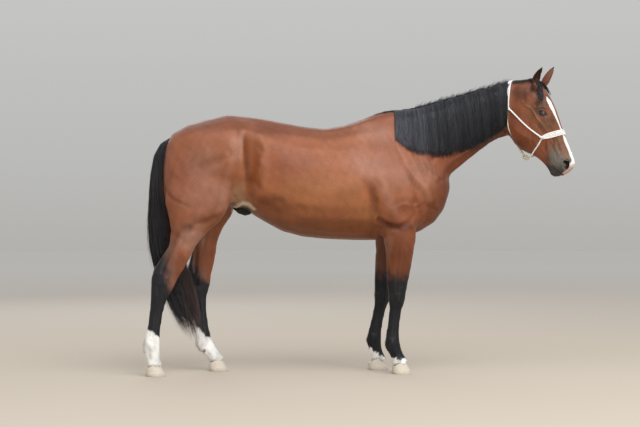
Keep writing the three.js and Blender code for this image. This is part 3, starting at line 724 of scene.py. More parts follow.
lips = stroke(spot[:, [0, 2]], [[320, 1234, 7, 2.5], [300, 1240, 9, 3], [280, 1254, 9, 2.5],
                                [262, 1274, 8, 1.5]])
mouth = stroke(spot[:, [0, 2]], [[316, 1237, 5.5, -4], [296, 1247, 4.5, -7], [274, 1266, 4, -6],
                                 [254, 1288, 3.5, -4]])
face += (lips + mouth) * front
print("face strokes from", round(face.min(), 1), "to", round(face.max(), 1), "mm")

# %% Move the skin, then carve the nostrils
points = points_of(skin) + facing * ((torso * (1 - front) + limbs + face) / 1000)[:, None]
place(skin, points)
points = relax(points, edges_of(skin), 0.5 * np.ones(len(points)), 2, 0.5)
spot, head_facing = head_of(points), facing_of(skin) @ HEAD_AXES.T
NOSTRIL = [[334, 1319, 6.5, -13], [348, 1312, 8, -17], [353, 1298, 8.5, -18], [346, 1284, 7, -13]]
for sign in SIGN.values():
    seen = fade(head_facing[:, 1] * sign, 0.0, 0.3) * (spot[:, 1] * sign > 8) * (spot[:, 0] > 300)
    depth = stroke(spot[:, [0, 2]], NOSTRIL) * seen
    inwards = np.array([-0.45, -0.85 * sign, 0.25]) @ HEAD_AXES
    points = points - inwards * (depth / 1000)[:, None]
place(skin, points)
print("nostrils carved")

# %% [markdown]
# ## Eyelids
# The eyeball is a ball of 42 mm, and the lids are skin drawn over it. Seen from the eye's centre,
# the skin near the opening is set just outside the ball, and inside the almond it drops behind
# it, so the edge of the lid stands free. Folds follow the opening at even distances.

# %% Lids
EYE_TILT = math.radians(-24)


def eye_axes(sign):
    """Along the opening (to its front corner), up across it, and outwards, as rows on the head's axes."""
    outward = unit(np.array([0.26, 0.965 * sign, 0.02]))
    along = np.array([math.cos(EYE_TILT), 0, math.sin(EYE_TILT)])
    along = unit(along - outward * (along @ outward))
    up = np.cross(outward, along) * sign
    return np.stack([along, up * np.sign(up[2]), outward])


LID_MIDDLE, LID_HALF = 1.0, 22.5  # along the opening
UPPER_LID, LOWER_LID = 11.0, -9.5  # above and below its middle line
LID_LIFT, LID_REACH = 2.4, 62.0  # off the ball, and as far as the skin is moved


def lid_edge(along):
    """Height of the upper and the lower lid over the middle line of the opening."""
    share = np.clip(np.abs(along - LID_MIDDLE) / LID_HALF, 0, 1)
    return UPPER_LID * (1 - share ** 2.0), LOWER_LID * (1 - share ** 1.8)


def folds(past, *rows):
    """Ridges and creases round the opening: rows of height, distance from the edge and width."""
    return sum(height * np.exp(-((past - place) / width) ** 2) for height, place, width in rows)


def lids(points):
    for side, sign in SIGN.items():
        local = (head_of(points) - EYE[side]) @ eye_axes(sign).T
        radius = np.linalg.norm(local, axis=1)
        near = (radius < LID_REACH) & (local[:, 2] > -4)
        upper, lower = lid_edge(local[:, 0])
        middle = (upper + lower) / 2
        past = np.where(local[:, 1] > middle, local[:, 1] - upper, lower - local[:, 1])
        corner = np.maximum(np.abs(local[:, 0] - LID_MIDDLE) - LID_HALF, 0)
        past = np.where(corner > 0, np.hypot(corner, local[:, 1] - middle), past)
        lid = EYE_RADIUS * 1000 + LID_LIFT
        over = folds(past, (-1.6, 6.5, 1.6), (1.4, 10.5, 2.6), (-1.3, 15.5, 1.5), (-0.9, 20.5, 1.5))
        beneath = folds(past, (-1.2, 6.0, 1.5), (-0.9, 11.5, 1.6))
        fold = np.where(local[:, 1] > middle, over, beneath)
        share = fade(past, 2.5, 17)
        wanted = lid * (1 - share) + radius * share + fold * fade(past, 1, 4) * (1 - fade(past, 20, 27))
        wanted = np.where(past < 1.2, lid - 6.5 * fade(-past, -1.2, 1.0), wanted)
        wanted = np.where(past < 3.5, np.minimum(wanted, lid), wanted)
        moved = local * np.where(near, wanted / np.maximum(radius, 1), 1)[:, None]
        change = (moved - local) @ eye_axes(sign)
        points = points + (change @ HEAD_AXES) / 1000 * near[:, None]
    return points


place(skin, lids(points_of(skin)))

# %% [markdown]
# An ear is a leaf rolled into a cup. The solid ear is full, so its front is pushed in towards
# the back wall, leaving a few millimetres of gristle and a rim.

# %% Ear cups
EAR_REACH = 34
points = points_of(skin)
spot = head_of(points)
for side, (base, tip, turn) in EARS.items():
    sign, base, tip = SIGN[side], np.array(base, float), np.array(tip, float)
    spine = tip - base
    length = np.linalg.norm(spine)
    spine /= length
    outward = np.array([math.cos(turn), sign * math.sin(turn), 0])
    across = unit(np.cross(spine, outward))
    outward = np.cross(across, spine)
    local = (spot - base) @ np.stack([across, outward, spine]).T
    up = local[:, 2] / length
    on_ear = (up > 0.12) & (up < 1.1) & (np.abs(local[:, :2]) < EAR_REACH).all(1)
    half = 26 * np.sin(np.pi * np.clip(0.3 + 0.7 * up, 0, 1)) ** 0.75 + 1
    share = np.clip(np.abs(local[:, 0]) / half, 0, 1)
    cup = 0.62 * half * (1 - share ** 2.4) * fade(up, 0.12, 0.35) * (1 - fade(up, 0.88, 1.0))
    front_wall = (facing_of(skin) @ HEAD_AXES.T @ outward) > 0.25
    points = points - (on_ear * front_wall * cup)[:, None] / 1000 * (outward @ HEAD_AXES)
place(skin, points)
points = relax(points, edges_of(skin), 0.5 * (head_of(points)[:, 2] > 1800), 2, 0.5)

# %% [markdown]
# The skin has to lie inside the solids by the depth of the coat that grows on it: some
# millimetres on the body, and well under one on the ears and legs, where the hair is thinnest.

# %% Sink the skin by the coat's depth
COAT_DEPTH = 0.004
CAD_LOW, CAD_HIGH = np.array(cad_box[0]), np.array(cad_box[1])
spot = head_of(points)
on_ears = fade(spot[:, 2], 1800, 1830) * (np.abs(spot[:, 1]) > 30)
on_legs = 1 - fade(drawn(points)[:, 2], 620, 820)
points = points - facing_of(skin) * (COAT_DEPTH * (1 - 0.85 * on_ears) * (1 - 0.86 * on_legs))[:, None]
place(skin, np.clip(points, CAD_LOW + 0.002, CAD_HIGH - 0.002))
skin.data.shade_smooth()
print("skin ready", faces_of(skin), "triangles", round(time.time() - started, 1), "s")

# %% Unwrap the skin
edit(skin)
bpy.ops.uv.smart_project(angle_limit=math.radians(66), island_margin=0.002)
close()
skin.data.uv_layers[0].name = "OFBake"
corner_uv = read(skin.data.uv_layers["OFBake"].data, "uv", 2).astype(float)
first_corner = read(skin.data.polygons, "loop_start", 1, np.int32)
corners = read(skin.data.polygons, "loop_total", 1, np.int32)
face_uv = np.add.reduceat(corner_uv, first_corner[:, 0], axis=0) / corners
skin_tree = BVHTree.FromObject(skin, bpy.context.evaluated_depsgraph_get())
print("unwrapped", round(time.time() - started, 1), "s")


def skin_under(spots):
    """The nearest point of the skin, which way it faces, and its place on the unwrap."""
    found = [skin_tree.find_nearest(Vector(spot)) for spot in spots]
    return (np.array([f[0] for f in found]), np.array([f[1] for f in found]), face_uv[[f[2] for f in found]])


# %% [markdown]
# The markings and the mane both need to know where the crest of the neck runs. Plumb lines find
# it, and level sight lines find how far out the neck is at each height.

# %% Find the crest and the side of the neck
CREST_STEP, SIDE_STEP = 15.0, 14.0
DOWN, LEFT = Vector((0, 0, -1)), Vector((0, 1, 0))
crest_x = np.arange(60, 1000, CREST_STEP)
crest = []
for x in crest_x:
    drops = [(skin_tree.ray_cast(Vector(at([x, y, 2400])), DOWN)[0], y) for y in range(-240, 61, 6)]
    tops = [(drawn(hit)[2], y) for hit, y in drops if hit is not None]
    best_z = max(z for z, _ in tops)
    crest.append((np.mean([y for z, y in tops if z > best_z - 3]), best_z))
crest = np.array(crest)
side_z = np.arange(1280, 1872, SIDE_STEP)
side_y = np.full((len(crest_x), len(side_z)), np.nan)
for i, x in enumerate(crest_x):
    for j, z in enumerate(side_z):
        hit = skin_tree.ray_cast(Vector(at([x, -700, z])), LEFT)[0]
        side_y[i, j] = drawn(hit)[1] if hit is not None and z < crest[i, 1] - 3 else crest[i, 0]
print("crest from", np.round(crest[0]), "to", np.round(crest[-1]))


def crest_at(x):
    """Where the crest runs at each x: its y and its z."""
    return np.interp(x, crest_x, crest[:, 0]), np.interp(x, crest_x, crest[:, 1])


def beside_neck(x, z):
    """How far to the side the skin of the neck lies, between the four nearest sight lines."""
    i = np.clip((x - crest_x[0]) / CREST_STEP, 0, len(crest_x) - 1.001)
    j = np.clip((z - side_z[0]) / SIDE_STEP, 0, len(side_z) - 1.001)
    a, b = i.astype(int), j.astype(int)
    s, t = i - a, j - b
    return ((side_y[a, b] * (1 - s) + side_y[a + 1, b] * s) * (1 - t)
            + (side_y[a, b + 1] * (1 - s) + side_y[a + 1, b + 1] * s) * t)

# %% [markdown]
# ## Markings
# A bay is red-brown with black mane, tail and lower legs. This one has four white feet, a blaze
# that ends in a pink lip and a grey muzzle. Over these colours lies painted light: painted shade on
# the belly, under the neck and in the hollows and creases, and a painted grey sheen where the glossy
# coat would reflect the sky. The same functions colour the skin and every tuft on it, so they always
# agree. Slow ripples keep the borders from looking drawn.

# %% Where each colour lies
BAY = np.array([0.272, 0.090, 0.038])
BAY_RED = np.array([0.228, 0.070, 0.034])
BAY_DARK = np.array([0.088, 0.024, 0.008])
BAY_GOLD = np.array([0.325, 0.130, 0.045])
# A grey used only for painted light: the sky's sheen on the glossy coat, and painted highlights.
PAINTED_SHEEN = np.array([0.330, 0.165, 0.115])
BLACK_COAT = np.array([0.0085, 0.0085, 0.0105])
WHITE_COAT = np.array([0.860, 0.845, 0.815])
GREY_SKIN = np.array([0.085, 0.074, 0.068])
PINK_SKIN = np.array([0.560, 0.360, 0.300])
rng = np.random.default_rng(11)


def ripple(spots, size, seed, waves=7):
    """A slow, smooth disturbance between about -1 and 1."""
    local = np.random.default_rng(seed)
    total = np.zeros(len(spots))
    for _ in range(waves):
        way = local.normal(size=3)
        way *= 2 * math.pi / size / np.linalg.norm(way) * local.uniform(0.6, 1.7)
        total += np.sin(spots @ way + local.uniform(0, 6.28))
    return total / waves ** 0.5 / 0.75


BLACK_TOP = {"fore_right": ([-90, 60], [622, 612]), "fore_left": ([-90, 60], [640, 590])}
HOCK_EDGE = {
    "hind_right": ([470, 500, 590, 700, 837, 900], [130, 78, 34, -22, -86, -150]),
    "hind_left": ([520, 556, 600, 700, 800, 860], [130, 74, 10, -50, -110, -160]),
}
WHITE_TOP = {
    "hind_right": ([-1341, -1305, -1256], [292, 280, 243]),
    "hind_left": ([-1019, -974, -936], [272, 234, 219]),
    "fore_right": ([183, 221, 271, 296], [108, 92, 94, 100]),
    "fore_left": ([54, 93, 151, 170], [150, 113, 98, 78]),
}


def mix(base, other, share):
    return base + (other - base) * np.clip(share, 0, 1)[:, None]


def blot(spots, centre, half):
    """1 at a place on the side view (x, z), fading away over half its length and half its height."""
    return np.exp(-(((spots[:, 0] - centre[0]) / half[0]) ** 2 + ((spots[:, 2] - centre[1]) / half[1]) ** 2))


TORSO_DABS = {  # x, z, half length, half height, colour, share
    "dark loin": [-582, 1500, 130, 46, BAY_DARK, 0.50],
    "dark croup": [-800, 1530, 150, 36, BAY_RED * 0.7, 0.45],
    # From here down to the root of the neck, a painted grey sheen where the glossy coat would reflect the
    # sky.
    "painted sheen on the haunch": [-786, 1392, 42, 80, PAINTED_SHEEN, 0.75],
    "painted sheen on the thigh": [-985, 1310, 130, 110, PAINTED_SHEEN * 0.8, 0.50],
    "painted sheen low on the thigh": [-1010, 1110, 150, 120, PAINTED_SHEEN, 0.42],
    "painted sheen on the stifle": [-872, 1085, 60, 90, PAINTED_SHEEN, 0.45],
    "calf": [-1062, 850, 90, 95, PAINTED_SHEEN * 1.15, 0.75],
    "painted sheen on the withers": [80, 1500, 130, 70, PAINTED_SHEEN, 0.55],
    "painted sheen on the blade": [20, 1300, 130, 90, PAINTED_SHEEN * 1.1, 0.55],
    "shoulder": [230, 1250, 150, 130, PAINTED_SHEEN, 0.35],
    "root of the neck": [400, 1240, 90, 110, PAINTED_SHEEN * 0.75, 0.4],
    "gold girth": [20, 1010, 120, 80, BAY_GOLD * 0.95, 0.5],
    # The next six: painted shade on the breast, at the elbow, on the forearm, in the dimple and under the
    # thigh, and a painted highlight on the forearm.
    "painted shade on the breast": [470, 1010, 60, 80, BAY_RED * 0.62, 0.35],
    "painted shade at the elbow": [200, 930, 115, 32, BAY_DARK * np.array([0.8, 0.6, 0.4]), 0.9],
    "painted shade on the forearm": [215, 745, 110, 115, BAY_DARK * np.array([1.0, 0.85, 0.6]), 0.8],
    "painted highlight on the forearm": [150, 800, 26, 110, PAINTED_SHEEN * 0.8, 0.35],
    "dimple": [-1096, 905, 52, 26, BAY_RED * 0.34, 0.72],
    "under the thigh": [-960, 955, 120, 34, BAY_RED * 0.5, 0.5],
    "red shank": [-1118, 688, 62, 62, BAY_RED * 0.82, 0.6],
    # Painted shade under the ribs.
    "painted shade under the ribs": [-200, 930, 420, 50, BAY_DARK * np.array([1.35, 1.5, 1.5]), 0.30],
    "whorl": [-594, 1080, 84, 28, BAY_DARK * 1.25, 0.7],
    "below the whorl": [-480, 1040, 150, 26, BAY_DARK * 1.5, 0.4],
    # Painted shade at the foot of the flank's hollow, behind the triceps and under the elbow. The fold of the
    # flank and its foot are paler: partly paler hair, partly a painted highlight.
    "foot of the flank": [-700, 1196, 34, 50, BAY_DARK * 1.2, 0.6],
    "behind the triceps": [56, 1110, 30, 100, BAY_DARK * 1.3, 0.5],
    "under the elbow": [150, 938, 58, 26, BAY_DARK * np.array([1.0, 0.7, 0.5]), 0.55],
    "fold of the flank": [-772, 1112, 38, 62, np.array([0.42, 0.26, 0.15]), 0.6],
    "foot of that fold": [-742, 1070, 50, 24, np.array([0.42, 0.26, 0.15]), 0.5],
    "shank": [-1164, 662, 60, 80, BAY_RED * 0.55, 0.55],
    # Painted sheen under the calf, and painted shade on the buttock, which faces away from the light.
    "under the calf": [-1066, 830, 60, 60, PAINTED_SHEEN * 0.8, 0.45],
    "painted shade on the buttock": [-1215, 1290, 45, 120, BAY_RED * 0.75, 0.5],
}
HEAD_DABS = {  # u, z, half length, half height, colour, share
    "temple": [66, 1745, 62, 52, BAY_DARK * np.array([0.9, 1.2, 1.8]), 0.88],
    "temple streak": [88, 1735, 12, 60, BAY_DARK * 0.8, 0.6],
    "second temple streak": [38, 1740, 10, 50, BAY_DARK * 0.8, 0.5],
    "brow": [184, 1676, 44, 52, BAY_DARK * np.array([0.5, 0.9, 1.25]), 0.92],
    "over the cheek": [118, 1648, 46, 34, BAY_GOLD * 0.62, 0.55],
    "cheek": [60, 1550, 66, 60, BAY_RED * 0.72, 0.55],
    "jaw": [70, 1440, 80, 46, BAY_DARK * 1.25, 0.80],
    "under the eye": [236, 1566, 48, 74, BAY_DARK * np.array([1.6, 2.7, 3.7]), 0.72],
    "side of the nose": [284, 1440, 46, 72, BAY_DARK * np.array([1.9, 2.7, 3.7]), 0.62],
    "below the eye": [246, 1574, 24, 26, BAY_DARK * np.array([0.7, 1.5, 2.2]), 0.8],
    "upper cheek": [195, 1545, 42, 38, BAY_DARK * np.array([0.9, 1.8, 2.6]), 0.6],
    "behind the eye": [139, 1596, 36, 34, BAY_DARK * np.array([1.0, 1.7, 2.3]), 0.6],
    "over the eye's corner": [150, 1659, 32, 30, BAY_DARK * np.array([0.7, 0.8, 0.9]), 0.6],
    "cheek top": [34, 1625, 58, 42, BAY_DARK * np.array([1.2, 1.4, 1.4]), 0.55],
    "beside the poll": [24, 1768, 36, 28, BAY_DARK * np.array([1.0, 1.4, 2.1]), 0.6],
    "bridge of the nose": [300, 1458, 28, 32, BAY_DARK * np.array([1.7, 3.8, 5.4]), 0.5],
    "corner of the mouth": [240, 1331, 30, 36, BAY_DARK * np.array([0.5, 0.9, 1.2]), 0.7],
    # Painted shade at the root of the ear.
    "root of the ear": [144, 1786, 30, 30, BAY_DARK * 0.55, 0.85],
    "over the brow": [206, 1716, 30, 40, BAY_DARK * np.array([0.9, 1.4, 1.9]), 0.6],
    "streak": [222, 1405, 11, 56, BAY_DARK * 0.6, 0.75],
    "second streak": [262, 1430, 10, 48, BAY_DARK * 0.6, 0.75],
}


def markings_and_painted_light(points, facing):
    """Coat colour at points of the skin, painted shade and sheen included, and how much of each is limb and
    bare skin.
    """
    mm, head = drawn(points), head_of(points)
    x, y, z = mm.T
    u, side, high = head.T
    flank, profile = mm[:, [0, 2]], head[:, [0, 2]]
    head_facing = facing @ HEAD_AXES.T
    slow, fine, tiny = ripple(mm, 420, 1), ripple(mm, 70, 2), ripple(mm, 19, 3)
    rgb = np.tile(BAY, (len(mm), 1))
    on_head = fade(u, -60, 0)
    low = 1 - fade(z + 22 * slow, 850, 1060)
    torso = (1 - on_head) * fade(z, 780, 860)
    rgb = mix(rgb, BAY_RED, 0.45 + 0.32 * slow)
    # Painted shade: the belly is darker, and so is every part of the body that faces down.
    rgb = mix(rgb, BAY_DARK * np.array([1.5, 1.6, 1.0]),
              torso * (0.46 * low + 0.22 * fade(-facing[:, 2], 0.2, 0.9)))
    # Darker where the body faces up: painted shade that holds down the sky's highlight on the back, and
    # partly the darker back of a bay.
    rgb = mix(rgb, BAY_RED * 0.55, torso * 0.8 * fade(facing[:, 2], 0.5, 0.96))
    rgb = mix(rgb, BAY_GOLD, 0.55 * blot(mm, (-330, 1120), (330, 130)) * torso)
    for at_x, at_z, half_x, half_z, colour, share in TORSO_DABS.values():
        away = ((x - at_x + 9 * fine) / half_x) ** 2 + ((z - at_z + 9 * slow) / half_z) ** 2
        rgb = mix(rgb, colour, share * np.exp(-away ** 1.4) * (1 - on_head))
    sides = fade(np.abs(facing[:, 1]), 0.1, 0.5)
    # The hollow of the flank is painted a dark orange-brown, as painted shade, with darker painted shade
    # along its rear edge and a faint line near its front.
    rear = x + 0.10 * (z - 1330)
    patch = fade(rear, -754, -734) * (1 - fade(x + 8 * fine, -668, -606)) * fade(z, 1130, 1250)
    patch *= (1 - fade(z + 0.35 * (x + 700), 1430, 1490)) * sides
    rgb = mix(rgb, BAY_GOLD * np.array([0.54, 0.32, 0.10]), 0.94 * patch)
    rim = fade(rear, -758, -734) * (1 - fade(rear, -726, -684)) + 0.6 * np.exp(-((x + 642) / 24) ** 2)
    rgb = mix(rgb, BAY_DARK, 0.5 * rim * patch)
    relief = strokes_on(mm, facing, FLANK) * (1 - on_head) + limb_relief(mm, facing)
    # Painted shade in every hollow the strokes sink, and a painted grey sheen on the ridges they lift.
    carved = fade(-relief, 1.0, 13) * (1 - patch)
    rgb = mix(rgb, BAY_DARK, 0.7 * carved)
    rgb = mix(rgb, PAINTED_SHEEN * 1.1, 0.30 * fade(relief, 2, 9) * torso * sides)
    # Painted shade under the neck.
    neck = fade(x, 300, 520) * (1 - on_head)
    under = 1 - fade(z - (1180 + 0.82 * (x - 520)), 20, 150)
    rgb = mix(rgb, BAY_DARK * 1.15, 0.75 * neck * under)
    # Painted shade in the groove behind the jaw.
    rgb = mix(rgb, BAY_DARK, 0.5 * np.exp(-((u + 42) / 34) ** 2) * (1 - fade(high, 1560, 1700)))
    groin = np.exp(-(((x + 780) / 130) ** 2 + (y / 110) ** 2)) * fade(-facing[:, 2], 0.45, 0.9)
    rgb = mix(rgb, GREY_SKIN * 0.8, 0.6 * groin * torso)
    # A pale line along the edge of the stifle fold: partly paler hair, partly a painted highlight.
    fold = stroke(flank, [[-806, 1012, 13, 1], [-786, 1042, 15, 1], [-752, 1066, 17, 1], [-712, 1056, 16, 1],
                                  [-676, 1026, 14, 1]])
    rgb = mix(rgb, np.array([0.58, 0.49, 0.36]),
              0.85 * fade(fold, 0.04, 0.7) * torso * (1 - fade(facing[:, 1], 0.1, 0.5)))
    # Below that fold the groin is painted almost black: partly its dark bare skin, partly painted shade under
    # the fold.
    fold_z = np.interp(x, [-812, -786, -752, -712, -676], [1002, 1040, 1064, 1052, 1018])
    pit = fade(fold_z - z, 12, 24) * fade(x, -830, -806) * (1 - fade(x, -704, -680))
    rgb = mix(rgb, GREY_SKIN * 0.14, 0.95 * pit * torso * (z > 960))
    # Painted shade in the seam of the thigh.
    seam = stroke(flank, [[-1251, 1197, 19, 1], [-1218, 1144, 19, 1], [-1176, 1091, 18, 1],
                                  [-1072, 1044, 14, 0.4]])
    rgb = mix(rgb, BAY_DARK * 0.8, 0.65 * seam * fade(-facing[:, 1], 0.15, 0.5))
    strip = np.interp(x, [80, 150, 240], [2, 8, 19])
    off_crest = y - crest_at(x)[0]
    under_mane = 1 - fade(np.where(off_crest < 0, -0.45 * off_crest, off_crest) + 2 * fine, strip - 2,
                          strip + 7)
    under_mane *= fade(x, 70, 120) * fade(facing[:, 2] + 0.8 * (off_crest < 0), 0.1, 0.4) * (1 - on_head)
    rgb = mix(rgb, BLACK_COAT, under_mane * (z > 1400))
    limb = np.zeros(len(mm))
    for leg in LEG_NAMES:
        on_leg, chart = of_leg(mm, leg), leg_chart(mm, leg)
        limb = np.maximum(limb, on_leg)
        if "fore" in leg:
            edge = np.interp(chart[:, 1], *BLACK_TOP[leg]) + 9 * fine + 2 * tiny
            dark = 1 - fade(z - edge, -48, 48)
            rgb = mix(rgb, BAY_DARK, on_leg * 0.55 * (1 - fade(z - edge, 20, 170)))
            if leg == "fore_left":
                # Painted light on the far foreleg's inner side, which lies in shade.
                rgb = mix(rgb, PAINTED_SHEEN * 0.5, on_leg * 0.55 * fade(-facing[:, 1], 0.2, 0.7))
        else:
            edge = np.interp(z, *HOCK_EDGE[leg]) + 6 * fine + 2 * tiny
            dark = 1 - fade(chart[:, 1] - edge, -40, 30)
            dark *= 1 - fade(z, 690, 900)
            # A painted blue-grey sheen along the border of the black on the hind legs.
            painted_sheen_border = (1 - fade(chart[:, 1] - edge, 0, 60)) * (1 - fade(z, 800, 960))
            rgb = mix(rgb, PAINTED_SHEEN * 0.62, on_leg * 0.65 * painted_sheen_border)
        # Painted shade on the inner side of each leg, between the legs.
        rgb = mix(rgb, BAY_DARK, on_leg * 0.35 * fade(-chart[:, 2], 0, 50) * (1 - fade(z, 700, 900)))
        # The black is painted lighter on the hind legs, as a painted sheen.
        rgb = mix(rgb, BLACK_COAT * (1.8 if "hind" in leg else 1.2), dark * on_leg)
        chestnut_at = (0.62, 3) if "fore" in leg else (2.14, -14)
        away = np.hypot((chart[:, 0] - chestnut_at[0]) * 380, chart[:, 1] - chestnut_at[1])
        rgb = mix(rgb, GREY_SKIN * 0.45, on_leg * fade(-chart[:, 2], 10, 20) * (1 - fade(away, 14, 20)))
        edge = np.interp(x, *WHITE_TOP[leg]) + 6 * fine + 3 * tiny
        white = (1 - fade(z - edge, -7, 6)) * on_leg
        rgb = mix(rgb, WHITE_COAT * (0.93 + 0.05 * fine[:, None]), white)
        # Painted shade in the creases of the white feet.
        rgb = mix(rgb, np.array([0.34, 0.31, 0.28]), 0.32 * white * fade(-relief, 0.8, 5.5))
        if leg == "hind_left":
            away = np.hypot(x + 986, z - 128 + 3 * tiny)
            rgb = mix(rgb, GREY_SKIN * 0.3, on_leg * 0.8 * (1 - fade(away, 7, 13)) * (facing[:, 1] < 0))
    shape = 1 + 0.05 * fine
    face = on_head * (high > 1180)
    front = fade(head_facing[:, 0], 0.05, 0.3)
    rgb = mix(rgb, BAY_RED * 0.78, 0.6 * face)
    for at_u, at_high, half_u, half_high, colour, share in HEAD_DABS.values():
        away = ((u - at_u + 4 * fine) / half_u) ** 2 + ((high - at_high + 4 * tiny) / half_high) ** 2
        rgb = mix(rgb, colour, share * np.exp(-away ** 1.3) * face)
    # Painted shade in the hollows of the face, and a painted highlight on its bones.
    bones = strokes_on(head, head_facing, FACE, edge=22)
    rgb = mix(rgb, BAY_DARK, 0.5 * face * fade(-bones, 1, 8))
    rgb = rgb * (1 + 0.12 * face * fade(bones, 1.5, 6))[:, None]
    nose_side = (1 - fade(high + 0.35 * (u - 300) + 10 * fine, 1330, 1440)) * fade(u, 205, 262)
    rgb = mix(rgb, GREY_SKIN * np.array([1.52, 1.72, 1.54]), 0.9 * face * nose_side)
    chin = 1 - fade(high - 0.2 * (u - 260) + 6 * fine, 1268, 1330)
    rgb = mix(rgb, GREY_SKIN * 0.5, 0.85 * face * chin * (1 - fade(u, 300, 326)))
    rgb = mix(rgb, GREY_SKIN * 0.55, face * (1 - fade(high + 5 * fine, 1262, 1312)) * (1 - fade(u, 318, 338)))
    along_eye, over_eye = 0.914 * (u - 201) - 0.407 * (high - 1616), 0.407 * (u - 201) + 0.914 * (high - 1616)
    eye_away = np.hypot((along_eye + 3) / 1.6, over_eye - 3)
    cheeks = face * (np.abs(side) > 50)
    rgb = mix(rgb, GREY_SKIN * 0.42, 0.85 * cheeks * (1 - fade(eye_away + 2 * tiny, 15, 29)))
    rgb = mix(rgb, GREY_SKIN * 0.13, cheeks * (1 - fade(eye_away, 13, 17)))
    rgb = mix(rgb, BAY_DARK * 1.3, 0.4 * face * blot(head, (218, 1580), (30, 24)))
    half = np.interp(high, [1300, 1345, 1400, 1455, 1480, 1560, 1600, 1625, 1660, 1700, 1718],
                     [30, 24, 18, 14, 8, 6, 9, 15, 20, 16, 3])
    middle = np.interp(high, [1300, 1345, 1400, 1480, 1560, 1620, 1720], [0, -2, -6, -14, -26, -38, -44])
    blaze = 1 - fade(np.abs(side - middle) / shape - half, -2.5, 3.0)
    blaze = blaze * front * (high < 1724) * (high > 1285)
    rgb = mix(rgb, WHITE_COAT, face * blaze)
    snip_edge = np.interp(high, [1236, 1246, 1262, 1282, 1330, 1350],
                          [294, 309, 329, 355, 369, 378]) + 2 * tiny
    snip = fade(u - snip_edge, -2, 3.5) * (high < 1352)
    pink = mix(np.tile(WHITE_COAT, (len(mm), 1)), PINK_SKIN, 1 - fade(high + 6 * fine, 1262, 1318))
    rgb = np.where((snip * face > 0)[:, None], rgb + (pink - rgb) * (snip * face)[:, None], rgb)
    # Inside the nostril: partly its dark skin, partly painted shade in the hole.
    inside = stroke(profile, [[331, 1320, 12, 1], [346, 1312, 15, 1], [350, 1298, 15, 1], [343, 1283, 13, 1]])
    rgb = mix(rgb, GREY_SKIN * 0.08, fade(inside, 0.04, 0.3) * face)
    lip = stroke(profile, [[318, 1235, 8, 1], [296, 1246, 7, 1], [274, 1266, 6, 1], [254, 1288, 5, 1]])
    rgb = mix(rgb, GREY_SKIN * 0.35, fade(lip, 0.15, 0.6) * face)
    ear = fade(high, 1796, 1830) * (np.abs(side) > 30) * on_head
    cup = ear * fade(head_facing[:, 0] * 0.73 + head_facing[:, 1] * np.sign(side) * 0.68, 0.1, 0.5)
    # The near ear is painted much darker than the far one: painted shade.
    near_ear = ear * (side < 0)
    rgb = mix(rgb, BAY_DARK * np.array([0.14, 0.18, 0.36]), 0.97 * near_ear)
    rgb = mix(rgb, BAY_RED * 0.5, 0.85 * (ear - near_ear) * (1 - cup))
    rgb = mix(rgb, BAY_DARK * 0.45, 0.7 * cup)
    rgb = mix(rgb, BLACK_COAT, ear * fade(high + 0.3 * (u - 200) - 26 * (side > 0), 1874, 1902))
    # Painted shadow behind the near ear.
    behind_ear = blot(head, (132, 1775), (18, 34)) * (side < -25)
    rgb = mix(rgb, BAY_DARK * 0.5, 0.8 * behind_ear * on_head)
    poll = on_head * (1 - fade(np.abs(side), 16, 34)) * fade(high, 1770, 1815) * (1 - fade(u, 172, 196))
    rgb = mix(rgb, BLACK_COAT, 0.9 * poll)
    bare = np.maximum(face * nose_side * (1 - fade(high, 1290, 1350)),
                      face * snip * (1 - fade(high, 1290, 1320)))
    return np.clip(rgb * (1 + 0.035 * fine + 0.03 * tiny)[:, None], 0.004, 0.88), limb, bare


def mark(piece, name, values, kind="FLOAT", key="value"):
    """Writes a value for every point of a piece, for its finish to read."""
    layer = piece.data.attributes.new(name, kind, "POINT")
    layer.data.foreach_set(key, np.asarray(values, np.float32).ravel())


def paint(piece, rgb, **masks):
    # The colour each point is painted, with any painted shade and sheen in it.
    mark(piece, "hide_and_painted_light", np.concatenate([rgb, np.ones((len(rgb), 1))], 1), "FLOAT_COLOR", "color")
    for name, values in masks.items():
        mark(piece, name, values)


points, facing = points_of(skin), facing_of(skin)
skin_rgb, limb, bare = markings_and_painted_light(points, facing)
paint(skin, skin_rgb, limb=limb, bare=bare)
print("painted", round(time.time() - started, 1), "s")

# %% [markdown]
# ## Finishes
# Coat, long hair and rope all show fine streaks along the fibre. One node group makes them, and
# each finish places it with its own scale. It puts out only a value that changes over the surface.

# %% A node group for streaks
def group_of(name, inputs, outputs):
    tree = bpy.data.node_groups.new(name, "ShaderNodeTree")
    for label, kind, value in inputs:
        socket = tree.interface.new_socket(label, in_out="INPUT", socket_type=kind)
        if value is not None:
            socket.default_value = value
    for label, kind in outputs:
        tree.interface.new_socket(label, in_out="OUTPUT", socket_type=kind)
    return tree, tree.nodes.new("NodeGroupInput"), tree.nodes.new("NodeGroupOutput")


def noise(tree, vector, scale, detail=2.0):
    made = node(tree, "ShaderNodeTexNoise")
    made.inputs["Scale"].default_value = scale
    made.inputs["Detail"].default_value = detail
    tree.links.new(vector, made.inputs["Vector"])
    return made.outputs["Fac"]


def objects_place(tree):
    return node(tree, "ShaderNodeTexCoord").outputs["Object"]


def attribute(tree, name, output="Fac"):
    return node(tree, "ShaderNodeAttribute", attribute_name=name).outputs[output]


